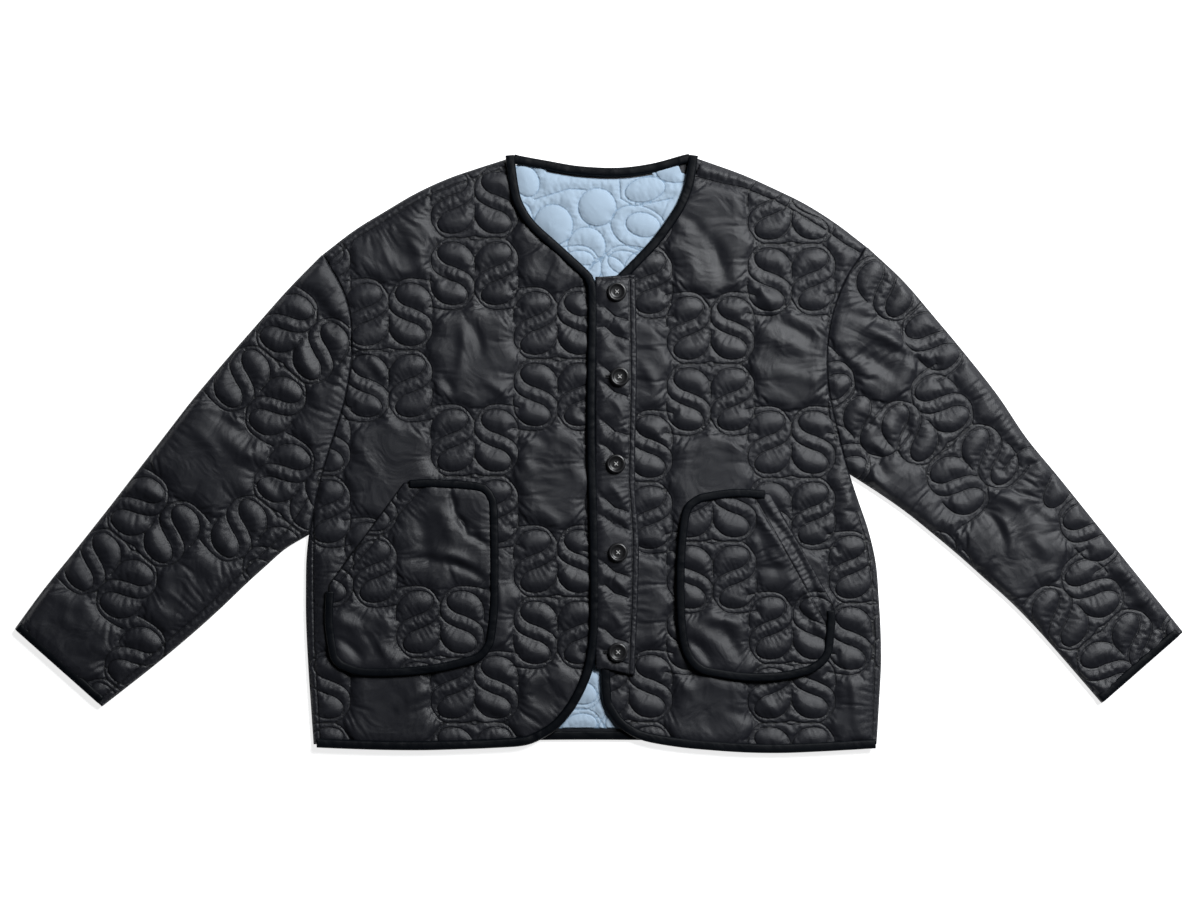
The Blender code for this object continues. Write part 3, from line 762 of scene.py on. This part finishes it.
# folds: from x, y to x, y, then the height and the width
rightFolds = [
    (-70, 268, -52, 214, -2.2, 7), (-58, 244, -38, 190, 2.0, 7), (-92, 30, -50, 8, -2.0, 6),
    (-104, 12, -64, -24, 1.8, 7), (-270, 122, -226, 96, 1.8, 7), (-258, 104, -214, 60, -2.0, 6),
    (-120, -120, -96, -172, 1.6, 6), (-132, -258, -92, -282, -2.0, 6), (-205, 232, -170, 180, 2.2, 7),
    (-190, 205, -150, 175, -1.6, 5), (-235, 215, -190, 165, 1.6, 8), (-140, 137, -145, 76, 2.4, 6),
    (-132, 137, -120, 98, -2.0, 5), (-163, 81, -148, 60, -2, 5), (-122, 76, -91, 56, 2.0, 5),
    (-250, 70, -205, 20, 1.5, 8), (-262, 20, -225, -25, 1.6, 7), (-175, -60, -160, -20, 1.2, 6),
    (-70, -50, -40, -75, 1.3, 6), (-210, -262, -165, -240, 1.6, 6)]
leftFolds = [
    (78, 247, 110, 224, -2.4, 7), (110, 227, 129, 172, -3.0, 8), (88, 214, 100, 166, 2.2, 8),
    (158, 143, 228, 110, -2.8, 7), (165, 121, 216, 101, 2.2, 8), (168, 84, 226, 74, 1.8, 8),
    (14, 60, 50, 78, -1.8, 6), (40, 96, 62, 60, 1.6, 6), (24, -90, 62, -110, -1.8, 6),
    (128, -262, 172, -282, -2.0, 6), (150, -240, 186, -270, 1.8, 6), (150, 190, 185, 130, 1.8, 6),
    (250, 110, 200, 60, 1.6, 7), (232, 60, 262, 10, 1.5, 6), (60, 190, 95, 150, 1.6, 7),
    (120, 20, 160, -10, 1.4, 7), (70, -215, 100, -260, 1.6, 6), (250, -205, 262, -285, 2.0, 5),
    (215, -195, 205, -250, 1.2, 6), (45, 30, 80, -5, 1.3, 6)]
rightSeams = [straight((-92, 295), (-118, 286), (-148, 276), (-177, 264), (-202, 250), (-250, 221),
                       (-277, 198)),
              straight((-293, -60), (-293, -140), (-292, -200), (-286, -297))]
leftSeams = [straight((99, 284), (126, 277), (147, 273), (179, 260), (200, 249), (231, 230), (252, 215),
                      (268, 206)),
             straight((264, -60), (273, -87), (279, -128), (283, -189), (280, -295))]

x, y = rings["front_right"].T
rightShoulder = (x < -297) | ((y > -0.72 * x - 12) & (x < -96) & (y > 195))
rightSide = (x < -282) & (y < -30)
frontRight = quilted("frontRight", "front_right", blocksAt(frontBlocks) + rightSeams, panel, rightFolds,
                     ("pocket_right", "pocket_left"), (rightShoulder, rightSide))
print("front right", len(frontRight.data.vertices))

x, y = rings["front_left"].T
leftShoulder = (x > 100) & (y > 205)
leftSide = (x > 262) & (y < -30)
frontLeft = quilted("frontLeft", "front_left", blocksAt(frontBlocks) + leftSeams, panel, leftFolds,
                    ("pocket_right", "pocket_left", "placket"), (leftShoulder, leftSide))
print("front left", len(frontLeft.data.vertices))


# the back, whose outer face lies on the table, and the lining over its inner face

backSheet = {"step": 3.0, "stitchRise": 1.7, "inner": 4.3, "fold": 4.6, "frames": 16, "growStitched": -0.06}


def makeBack():
    ring = rings["back"]
    flat, faces, edge, stitched = sheetMesh(ring, blocksAt(frontBlocks), backSheet["step"])
    points, gaps = settle("back", flat, faces, stitched, 0.0, backSheet)
    points[:, 2] = np.maximum(backSheet["stitchRise"] - 1.2 * np.maximum(points[:, 2], 0), 0.0)
    bound = (ring[:, 1] > 285) & (np.abs(ring[:, 0]) < 92) | (ring[:, 1] < -290)
    points[:, 2] = edgeDrop(points, ring, ~bound, backSheet["fold"], 4.0)
    innerEdge = np.where(bound, 4.0, 4.9)
    piece = padFrom("back", flat, faces, edge, points, backSheet["inner"], innerEdge, shell, gaps)
    return finished(piece, "back")


backPanel = makeBack()
print("back", len(backPanel.data.vertices))


# centre, half width, half height and tilt of each round shape at the neck
liningOvals = [
    (-2, 253, 19.5, 19.5, 0), (-13, 213, 19.5, 19.5, 0), (-47, 235, 20, 21, 20),
    (45, 235, 18, 12.5, -12), (41, 232, 30, 22, -20), (47, 271, 21, 12.5, 14), (-75, 280, 13, 17, 25),
    (-80, 238, 12, 20, 0), (8, 183, 20, 20, 0), (-70, 205, 22, 18, 0), (78, 290, 20, 12, 0),
    (46, 190, 20, 18, 0)]


def oval(x, y, wide, high, tilt):
    turn = math.radians(tilt)
    angles = np.linspace(0, math.tau, 73)
    a, b = wide * np.cos(angles), high * np.sin(angles)
    return evenly(np.column_stack([x + a * math.cos(turn) - b * math.sin(turn),
                                   y + a * math.sin(turn) + b * math.cos(turn)]), 1.4)


liningSheet = {"step": 1.9, "level": 4.9, "inner": 4.5, "covered": 0.4, "most": 3.9, "pressure": 1.0,
               "seed": 3}
liningBlocks = [(2, 140), (-40, -262), (44, -262), (2, -384)]


def liningShows(point):
    # full fineness at the neck and at the hem, and one point in six each way where it is covered
    across, up = abs(point[0]), point[1]
    coarse = round(point[0] / 1.9) % 6 == 0 and round(point[1] / 1.65) % 6 == 0
    return (across < 100 and up > 165) or (across < 80 and up < -200) or coarse


def makeLining():
    lines = blocksAt(liningBlocks) + [oval(*row) for row in liningOvals]
    lines += [straight((-66, 261), (-31, 272), (-14, 271)),
              straight((20, 290), (22, 262), (36, 254), (75, 262))]
    level = liningSheet["level"]
    flat, faces, edge, stitched = sheetMesh(rings["lining_back"], lines, liningSheet["step"], liningShows)
    points, gaps = settle("lining", flat, faces, stitched, level, liningSheet)
    rise = np.maximum(points[:, 2] - level, 0)
    covered = insideRing(points, rings["front_right"]) | insideRing(points, rings["front_left"])
    away = distancesTo(treeOf(np.vstack([rings["front_right"], rings["front_left"]])), points)
    least = liningSheet["covered"]
    most = np.where(covered, least, np.minimum(least + 0.32 * away, liningSheet["most"]))
    points = np.column_stack([points[:, :2], level + most * np.tanh(rise / most)])
    inner = liningSheet["inner"]
    piece = padFrom("liningBack", flat, faces, edge, points, inner, inner, liningShade, gaps)
    return finished(piece, "lining_back")


liningBack = makeLining()
print("lining", len(liningBack.data.vertices))


# the sleeves: flattened tubes, folded along the top and the underarm

sleeve = {"step": 2.0, "underStep": 3.4, "level": 7.4, "fold": 5.1, "cuffTop": 8.2, "cuffFoot": 2.0,
          "stitchRise": 1.6, "slotTop": 5.7, "slotFoot": 4.6, "slotInset": 3.5, "slotEnds": 4.0,
          "frames": 14, "growStitched": -0.06}  # the last two settle the underside


def sleeveRuns(node, side):
    # the outline as its top fold, cuff, underarm fold and armhole
    runs = runsOf(outlineOf(node), 1.5)
    if side == "left":
        cuffAt = max(range(4), key=lambda k: -abs(len(runs[k]) - 80))
        runs = runs[cuffAt - 1:] + runs[:cuffAt - 1]
    top, cuff, below, arm = runs
    arm = shifted(arm, -1.6)
    arm[0], arm[-1] = below[-1], top[0]
    return top, cuff, below, arm


def startsOf(runs):
    return np.cumsum([0] + [len(run) - 1 for run in runs])


def trimmed(run, ends):
    marks = np.r_[0, np.cumsum(np.linalg.norm(np.diff(run, axis=0), axis=1))]
    stops = np.linspace(ends, marks[-1] - ends, len(run))
    return np.column_stack([np.interp(stops, marks, run[:, k]) for k in (0, 1)])


def insetRun(run, distance, first, last):
    moved = shifted(run, distance)
    tree = treeOf(run)
    keep = [p for p in moved[3:-3:3] if tree.find((p[0], p[1], 0))[2] > distance * 0.93]
    keep = [p for p in keep if np.linalg.norm(p - first) > 6 and np.linalg.norm(p - last) > 6]
    return np.vstack([[first], keep, [last]])


def slotRuns(top, cuff, below, arm):
    # the inner face, a flat slot from cuff to armhole
    innerCuff, innerArm = trimmed(cuff, sleeve["slotEnds"]), trimmed(arm, sleeve["slotEnds"])
    innerTop = insetRun(top, sleeve["slotInset"], innerArm[-1], innerCuff[0])
    innerBelow = insetRun(below, sleeve["slotInset"], innerCuff[-1], innerArm[0])
    return innerTop, innerCuff, innerBelow, innerArm


def upperSleeve(name, ring, lines, folds, folded, isCuff):
    flat, faces, edge, stitched = sheetMesh(ring, lines, sleeve["step"])
    points, gaps = settle(name, flat, faces, stitched, sleeve["level"], {})
    points = capped(points, faces, sleeve["level"], panel["most"], folds, gaps)
    points[:, 2] = edgeDrop(points, ring, folded, sleeve["fold"], 3.4)
    points[np.array(edge)[isCuff], 2] = sleeve["cuffTop"]
    return points, faces, edge, gaps


def lowerSleeve(name, ring, lines, folded, isCuff):
    flat, faces, edge, stitched = sheetMesh(ring, lines, sleeve["underStep"])
    points, gaps = settle(name + "Under", flat, faces, stitched, 0.0, sleeve)
    points[:, 2] = np.maximum(sleeve["stitchRise"] - 1.2 * np.maximum(points[:, 2], 0), 0.0)
    points[:, 2] = edgeDrop(points, ring, folded, sleeve["fold"], 3.4)
    points[np.array(edge)[isCuff], 2] = sleeve["cuffFoot"]
    return points, faces, edge, gaps


def makeSleeve(name, node, lines, folds, side):
    runs = sleeveRuns(node, side)
    rings[node] = ring = ringFrom(runs)
    starts = startsOf(runs)
    number = np.arange(len(ring))
    folded = (number <= starts[1]) | ((number >= starts[2]) & (number <= starts[3]))
    isCuff = (number > starts[1]) & (number < starts[2])
    points, faces, edge, gaps = upperSleeve(name, ring, lines, folds, folded, isCuff)
    lower, lowerFaces, lowerEdge, lowerGaps = lowerSleeve(name, ring, lines, folded, isCuff)

    # the two share the points of the folded edges
    shared = {lowerEdge[k]: edge[k] for k in range(len(ring)) if folded[k]}
    own = [k for k in range(len(lower)) if k not in shared]
    place = {**shared, **{k: len(points) + n for n, k in enumerate(own)}}

    slot = slotRuns(*runs)
    slotRing = ringFrom(slot)
    slotStarts = startsOf(slot)
    made = geometry.delaunay_2d_cdt([Vector(p) for p in slotRing], [], [list(range(len(slotRing)))], 1, 0.01)
    slotFlat = np.array([tuple(v) for v in made[0]])
    slotPlace = {origins[0]: n for n, origins in enumerate(made[3]) if origins}
    ceiling = len(points) + len(own)
    ground = ceiling + len(slotFlat)
    slotTop = np.column_stack([slotFlat, np.full(len(slotFlat), sleeve["slotTop"])])
    slotFoot = np.column_stack([slotFlat, np.full(len(slotFlat), sleeve["slotFoot"])])

    def up(k):
        return ceiling + slotPlace[k % len(slotRing)]

    def down(k):
        return ground + slotPlace[k % len(slotRing)]

    def above(k):
        return edge[k % len(ring)]

    def under(k):
        return place[lowerEdge[k % len(ring)]]

    walls = [tuple(face) for face in faces]
    walls += [tuple(place[int(k)] for k in face[::-1]) for face in lowerFaces]
    for face in made[2]:
        a, b, c = (slotFlat[k] for k in face)
        face = tuple(face) if cross(b - a, c - a) > 0 else tuple(face[::-1])
        walls.append(tuple(ceiling + k for k in face[::-1]))
        walls.append(tuple(ground + k for k in face))
    for run in (0, 2):  # the slot's narrow sides, along the folds
        for k in range(slotStarts[run], slotStarts[run + 1]):
            walls.append((up(k), up(k + 1), down(k + 1), down(k)))
    for run in (1, 3):  # from the cloth's edges in to the slot, at the cuff and the armhole
        start, stop = starts[run], starts[run + 1]
        first, last = slotStarts[run], slotStarts[run + 1]
        for k in range(stop - start):
            walls.append((above(start + k + 1), above(start + k), up(first + k), up(first + k + 1)))
            walls.append((under(start + k), under(start + k + 1), down(first + k + 1), down(first + k)))
        walls.append((above(start), down(first), up(first)))
        walls.append((above(stop), up(last), down(last)))
    piece = addPiece(name, np.vstack([points, lower[own], slotTop, slotFoot]), walls, shell)
    mark(piece, np.concatenate([gaps, lowerGaps[own]]))
    return finished(piece, node), runs[1]


rightSleeveFolds = [
    (-300, 172, -268, 118, -2.0, 6), (-404, 44, -352, 8, -2.4, 7), (-396, 22, -340, -22, 2.2, 8),
    (-366, -2, -320, -52, -2.0, 6), (-470, -62, -430, -96, -2.0, 6), (-520, -196, -478, -222, 1.8, 7),
    (-330, 150, -290, 60, 1.5, 8), (-420, 30, -385, -10, 1.8, 7), (-480, -30, -430, -60, 1.4, 7),
    (-372, -82, -392, -120, 1.5, 8), (-300, 30, -292, -40, 1.8, 6), (-340, 20, -372, -10, 1.6, 6),
    (-560, -165, -520, -190, 1.2, 8)]
leftSleeveFolds = [
    (240, 148, 318, 118, -2.4, 6), (243, 112, 322, 62, -2.6, 7), (264, 132, 330, 92, 2.0, 8),
    (268, 128, 345, 92, 2.2, 8), (262, 88, 330, 62, 2.4, 9), (285, 112, 352, 78, -1.8, 6),
    (258, 52, 300, 20, 1.8, 7), (300, 45, 322, 10, -2.4, 7), (268, -10, 300, -50, 2.6, 7),
    (275, 10, 292, -28, -2.6, 6), (398, -36, 446, -66, 2.6, 6), (392, -52, 420, -98, -2.6, 6),
    (410, -60, 424, -112, 2.4, 6), (430, -52, 470, -82, -2.0, 6), (440, -80, 462, -108, 2.2, 7),
    (420, 50, 470, 0, 1.6, 8), (530, -110, 575, -160, 2.0, 8), (528, -128, 560, -178, -1.6, 6),
    (350, -20, 372, -70, 1.4, 7), (395, -140, 440, -170, 1.6, 6)]
rightSleeveLines = lattice((-478.7, -96.4), (-3.1, -153.7), (149.7, 33.9), (-0.631, -0.776),
                           outlineOf("sleeve_right"))
underarm = straight((-298, -45), (-321, -80), (-358, -114), (-415, -169), (-445, -194), (-477, -224),
                    (-510, -250))


def apart(centres, down):
    # blocks in order, each without the lines that would run into an earlier one
    kept = []
    down = np.array(down)
    across = np.array([-down[1], down[0]])
    for number, centre in enumerate(centres):
        for line in block(centre, down):
            inside = np.zeros(len(line), bool)
            for other in centres[:number]:
                away = line - np.array(other)
                inside |= (np.abs(away @ down) < 74) & (np.abs(away @ across) < 41)
            if inside.mean() < 0.12:
                kept.append(line)
    return kept


leftSleeveLines = apart([(333.8, 157.2), (359.3, 9.2), (495.5, -38.5), (513.5, -180.4), (395.7, -124),
                         (238, 42), (617, -235)], (0.671, -0.741))
sleeveRight, rightCuff = makeSleeve("sleeveRight", "sleeve_right", rightSleeveLines + [underarm],
                                    rightSleeveFolds, "right")
sleeveLeft, leftCuff = makeSleeve("sleeveLeft", "sleeve_left", leftSleeveLines, leftSleeveFolds, "left")
print("sleeves", len(sleeveRight.data.vertices), len(sleeveLeft.data.vertices))


# placket and pockets

placketPad = {"level": 11.4, "most": 2.2, "inner": 10.7, "step": 1.6}
placketEdges = [straight((31, 183), (32.5, 81), (30.5, -27), (34.5, -83), (33.5, -148), (30.5, -226)),
                straight((3, 178), (35, 180))]
placketTucks = [straight((6, 150 - k), (16, 141 - k), (29, 137 - k))
                for k in (0, 20, 62, 78, 118, 142, 196, 214, 262, 284, 330, 352)]
placketFolds = [
    (8, 150, 28, 120, 1.4, 4), (8, 118, 28, 98, -1.2, 4), (7, 62, 28, 34, 1.4, 4),
    (8, 30, 28, 8, 1.3, 4), (8, -30, 28, -52, 1.4, 4), (7, -62, 28, -84, -1.2, 4),
    (8, -120, 28, -142, 1.4, 4), (7, -158, 28, -182, 1.3, 4), (9, 176, 28, 178, 1.0, 3)]
placket = quilted("placket", "placket", placketEdges + placketTucks, placketPad, placketFolds)

pocketPad = {"level": 11.5, "most": 3.0, "inner": 10.7, "step": 1.7}
rightPocketLines = blocksAt([(-163, -209), (-252, -84)]) + [straight((-183.5, -37.5), (-267, -132))]
rightPocketFolds = [
    (-153, -38, -148, -62, -2.6, 3.5), (-149, -59, -134, -85, -3.0, 3.5),
    (-137, -82, -112, -96, -2.8, 4), (-165, -50, -150, -98, 2.2, 9), (-146, -66, -122, -84, -1.5, 4),
    (-184, -60, -181, -108, -2.4, 9), (-172, -100, -125, -116, 2.6, 7),
    (-202, -110, -160, -110, -2.6, 5), (-164, -108, -112, -132, -3.2, 5),
    (-270, -168, -228, -196, 2.2, 7), (-272, -186, -240, -214, -2.2, 5),
    (-250, -176, -222, -208, -2.0, 5), (-236, -190, -204, -220, 1.8, 6),
    (-262, -160, -240, -170, -1.6, 6), (-220, -160, -208, -210, 1.4, 6)]
leftPocketLines = blocksAt([(116, -90), (198, -215)]) + [straight((160, -45), (234, -178))]
leftPocketFolds = [
    (152, -50, 229, -184, 2.8, 5), (160, -45, 234, -178, -1.6, 3.5), (169, -46, 238, -160, 2.0, 5),
    (95, -175, 140, -222, 2.2, 7), (88, -186, 118, -220, -2.4, 5), (120, -172, 146, -214, -1.8, 6),
    (102, -168, 150, -176, 1.6, 6), (158, -70, 172, -112, -2.0, 6), (168, -64, 196, -120, 2.2, 7),
    (156, -120, 196, -118, -2.4, 5), (172, -96, 206, -148, 1.6, 6), (190, -150, 228, -196, -1.6, 5)]
pocketRight = quilted("pocketRight", "pocket_right", rightPocketLines, pocketPad, rightPocketFolds)
pocketLeft = quilted("pocketLeft", "pocket_left", leftPocketLines, pocketPad, leftPocketFolds)
print("pockets", len(pocketRight.data.vertices), len(pocketLeft.data.vertices))


# bindings: folded tape round each raw edge, drawn up a little by its stitching

def makeTape(name, node, width, low, high, before=(), after=()):
    line = smooth(np.array([*before, *tapeEdge(node), *after]), 1.6)
    rng = np.random.RandomState(len(name))
    ruck = np.convolve(rng.normal(0, 1, len(line) + 8), np.ones(4) / 4, "same")[4:-4]
    line = np.column_stack([line, 1 + 0.05 * ruck])
    piece = sweep(name, line, tapeSection(width, low, high), bindingShade)
    mark(piece, np.full(len(piece.data.vertices), 20.0))
    return finished(piece, node)


tapes = {
    "tapeFrontRight": ("binding_front_right", 9.6, 5.6, 13.4, (), [(-86.4, 306)]),
    "tapeFrontLeft": ("binding_front_left", 9.6, 5.6, 11.4, [(92.0, 306.5)], [(283.5, -302)]),
    "tapeNeckBack": ("binding_neck_back", 9.6, 0.0, 9.4, [(92.0, 308)], [(-86, 307.5)]),
    "tapeHemBack": ("binding_hem_back", 9.6, 0.0, 6.0),
    "tapePocketRight": ("binding_pocket_right", 8.6, 10.6, 15.4),
    "tapePocketLeft": ("binding_pocket_left", 8.6, 10.6, 15.4),
}
made = {name: makeTape(name, *row) for name, row in tapes.items()}


cuffBand = {"half": 4.5, "thick": 2.1, "top": 8.0, "foot": 2.2, "round": 1.6, "inward": 4.2, "facets": 16}


def cuffPath(run, along):
    # over the flattened end of the sleeve, down, back along the underside and up again
    middle = (cuffBand["top"] + cuffBand["foot"]) / 2
    half = (cuffBand["top"] - cuffBand["foot"]) / 2
    angles = [math.pi * k / 8 for k in range(1, 8)]
    path = [(*p, cuffBand["top"]) for p in run]
    for a in angles:
        path.append((*(run[-1] + along * cuffBand["round"] * math.sin(a)), middle + half * math.cos(a)))
    path += [(*p, cuffBand["foot"]) for p in run[::-1]]
    for a in angles:
        path.append((*(run[0] - along * cuffBand["round"] * math.sin(a)), middle - half * math.cos(a)))
    return np.array(path)


def cuffTape(name, node, sleeveNode, cuff):
    # a ring of tape round the flattened end of a sleeve
    run = smooth(cuff[::6], 2.0)[2:-2]
    along = run[-1] - run[0]
    along /= np.linalg.norm(along)
    outward = np.array([along[1], -along[0], 0.0])
    if outward[:2] @ (run[0] - rings[sleeveNode].mean(axis=0)) < 0:
        outward = -outward
    path = cuffPath(run, along)
    size = cuffBand["facets"]
    points = []
    for k, p in enumerate(path):
        tangent = path[(k + 1) % len(path)] - path[k - 1]
        tangent /= np.linalg.norm(tangent)
        upright = np.cross(tangent, outward)
        for n in range(size):
            a = math.tau * n / size
            across = cuffBand["half"] * math.copysign(abs(math.cos(a)) ** 0.6, math.cos(a))
            rise = cuffBand["thick"] * math.copysign(abs(math.sin(a)) ** 0.8, math.sin(a))
            points.append(p + outward * (across - cuffBand["inward"]) + upright * rise)
    faces = []
    for k in range(len(path)):
        n = (k + 1) % len(path)
        for j in range(size):
            m = (j + 1) % size
            faces.append((k * size + j, n * size + j, n * size + m, k * size + m))
    points = np.array(points)
    points[:, 2] = np.maximum(points[:, 2], 0.0)
    piece = addPiece(name, points, faces, bindingShade)
    mark(piece, np.full(len(points), 20.0))
    return finished(piece, node)


made["tapeCuffRight"] = cuffTape("tapeCuffRight", "binding_cuff_right", "sleeve_right", rightCuff)
made["tapeCuffLeft"] = cuffTape("tapeCuffLeft", "binding_cuff_left", "sleeve_left", leftCuff)
print("tapes", len(made))


# buttons, their thread and their holes

button = {"foot": 13.9, "turns": 72, "holeRadius": 1.05, "holeSpread": 1.75, "holeSides": 20,
          "sharp": 40}
buttonProfile = [
    (8.3, 0.0), (9.3, 0.4), (9.8, 1.1), (9.85, 2.0), (9.5, 3.0), (8.9, 3.5), (8.1, 3.7), (7.3, 3.55),
    (6.7, 3.05), (6.3, 2.5), (5.7, 2.2), (4.2, 2.05)]  # out from the centre, then up from its foot


def turnedPiece(name, profile, x, y, foot, turns, sharp=None):
    # a closed round piece; the profile starts at its lower face
    points = []
    faces = []
    for r, z in profile:
        for k in range(turns):
            a = math.tau * k / turns
            points.append((x + r * math.cos(a), y + r * math.sin(a), foot + z))
    for row in range(len(profile) - 1):
        for k in range(turns):
            m = (k + 1) % turns
            faces.append((row * turns + k, row * turns + m, (row + 1) * turns + m, (row + 1) * turns + k))
    faces.append(tuple(range(turns))[::-1])
    faces.append(tuple((len(profile) - 1) * turns + k for k in range(turns)))
    return addPiece(name, points, faces, buttonShade, sharp)


def makeButton(number, x, y):
    disc = turnedPiece("button%d" % number, buttonProfile, x, y, button["foot"], button["turns"],
                       button["sharp"])
    hole = [(button["holeRadius"], -2), (button["holeRadius"], 6)]
    drills = [turnedPiece("drill", hole, x + sx * button["holeSpread"], y + sy * button["holeSpread"],
                          button["foot"], button["holeSides"]) for sx in (-1, 1) for sy in (-1, 1)]
    drill = joined("drill", drills, buttonShade)
    cut = disc.modifiers.new("holes", "BOOLEAN")
    cut.operation = "DIFFERENCE"
    cut.object = drill
    cut.solver = "EXACT"
    bpy.context.view_layer.update()
    done = bpy.data.meshes.new_from_object(disc.evaluated_get(bpy.context.evaluated_depsgraph_get()))
    disc.modifiers.clear()
    disc.data = done
    done.set_sharp_from_angle(angle=math.radians(button["sharp"]))
    bpy.data.objects.remove(drill, do_unlink=True)
    mark(disc, np.full(len(done.vertices), 20.0))
    return finished(disc, "button_%d" % number)


def cordPiece(name, path, radius, shade):
    # a short thread, round in section
    path = smooth(path, 0.4)
    points = []
    faces = []
    for k, p in enumerate(path):
        tangent = path[min(k + 1, len(path) - 1)] - path[max(k - 1, 0)]
        tangent /= np.linalg.norm(tangent)
        side = np.cross(tangent, (0, 0, 1.0))
        side /= max(np.linalg.norm(side), 1e-6)
        rise = np.cross(side, tangent)
        for n in range(8):
            a = math.tau * n / 8
            points.append(p + radius * (math.cos(a) * side + math.sin(a) * rise))
    for k in range(len(path) - 1):
        for n in range(8):
            m = (n + 1) % 8
            faces.append((k * 8 + n, k * 8 + m, (k + 1) * 8 + m, (k + 1) * 8 + n))
    faces.append(tuple(range(8))[::-1])
    faces.append(tuple((len(path) - 1) * 8 + n for n in range(8)))
    return addPiece(name, points, faces, shade)


def buttonThread(number, x, y):
    # two stitches crossing between the four holes
    s = button["holeSpread"]
    top = button["foot"] + 2.35
    cords = []
    for lift, (a, b) in enumerate((((-s, -s), (s, s)), ((-s, s), (s, -s)))):
        path = [(x + a[0], y + a[1], top - 1.6), (x + a[0] * 0.85, y + a[1] * 0.85, top + 0.3),
                (x, y, top - 0.3 + 0.2 * lift), (x + b[0] * 0.85, y + b[1] * 0.85, top + 0.3),
                (x + b[0], y + b[1], top - 1.6)]
        cords.append(cordPiece("strand", np.array(path), 0.55, paleThread))
    piece = joined("buttonThread%d" % number, cords, paleThread)
    mark(piece, np.full(len(piece.data.vertices), 20.0))
    return finished(piece, None)


def buttonhole(number, x, y):
    # worked edge of a slit that runs from the tape to under the button
    rng = np.random.RandomState(number)
    left, right, half = x - 14.5, x + 4.0, 1.25
    cords = []
    count = 26
    for k in range(count):
        for side in (-1, 1):
            px = left + (right - left) * (k + 0.5) / count + rng.uniform(-0.1, 0.1)
            path = [(px, y + side * 0.35, 13.4), (px + 0.05, y + side * 0.9, 14.0),
                    (px, y + side * half * 1.35, 13.2)]
            cords.append(cordPiece("strand", np.array(path), 0.33, threadShade))
    piece = joined("buttonhole%d" % number, cords, threadShade)
    mark(piece, np.full(len(piece.data.vertices), 20.0))
    return finished(piece, None)


places = []
for number in range(1, 6):
    low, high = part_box("button_%d" % number)
    centre = (low + high) / 2 / mm
    places.append((number, centre.x, centre.y))
buttons = [makeButton(*row) for row in places]
threads = [buttonThread(*row) for row in places] + [buttonhole(*row) for row in places]
print("buttons", len(buttons))


# floor, lights and camera

def makeFloor():
    mesh = bpy.data.meshes.new("floor")
    reach, height = 20, -0.0005  # metres
    corners = [(-reach, -reach, height), (reach, -reach, height), (reach, reach, height),
               (-reach, reach, height)]
    mesh.from_pydata(corners, [], [(0, 1, 2, 3)])
    shade = bpy.data.materials.new("floor")
    shade.use_nodes = True
    shader = shade.node_tree.nodes["Principled BSDF"]
    shader.inputs["Base Color"].default_value = (0.93, 0.93, 0.935, 1)
    shader.inputs["Roughness"].default_value = 0.9
    shader.inputs["Specular IOR Level"].default_value = 0.1
    shader.inputs["Emission Color"].default_value = (1, 1, 1, 1)
    shader.inputs["Emission Strength"].default_value = 0.8
    mesh.materials.append(shade)
    floor = bpy.data.objects.new("floor", mesh)
    bpy.context.scene.collection.objects.link(floor)


def makeLight(name, place, size, power, colour):
    data = bpy.data.lights.new(name, "AREA")
    data.shape = "RECTANGLE"
    data.size, data.size_y = size
    data.energy = power
    data.color = colour
    light = bpy.data.objects.new(name, data)
    light.location = place
    light.rotation_euler = (-Vector(place)).to_track_quat("-Z", "Y").to_euler()
    bpy.context.scene.collection.objects.link(light)


makeFloor()
makeLight("key", (1.35, 1.45, 2.2), (1.1, 1.1), 106.0, (0.96, 0.98, 1.0))
world = bpy.data.worlds.new("studio")
world.use_nodes = True
world.node_tree.nodes["Background"].inputs["Color"].default_value = (0.95, 0.97, 1.0, 1)
world.node_tree.nodes["Background"].inputs["Strength"].default_value = 0.02
bpy.context.scene.world = world
bpy.context.scene.view_settings.view_transform = "Standard"

view = {"lens": 70, "sensor": 36, "widthSeen": 1.230, "middle": (0.001, 0.004, 0.008)}
lens = bpy.data.cameras.new("camera")
lens.lens = view["lens"]
lens.sensor_width = view["sensor"]
camera = bpy.data.objects.new("camera", lens)
away = view["widthSeen"] * view["lens"] / view["sensor"]
camera.location = (*view["middle"][:2], away + view["middle"][2])
bpy.context.scene.collection.objects.link(camera)
bpy.context.scene.camera = camera

bpy.context.view_layer.update()
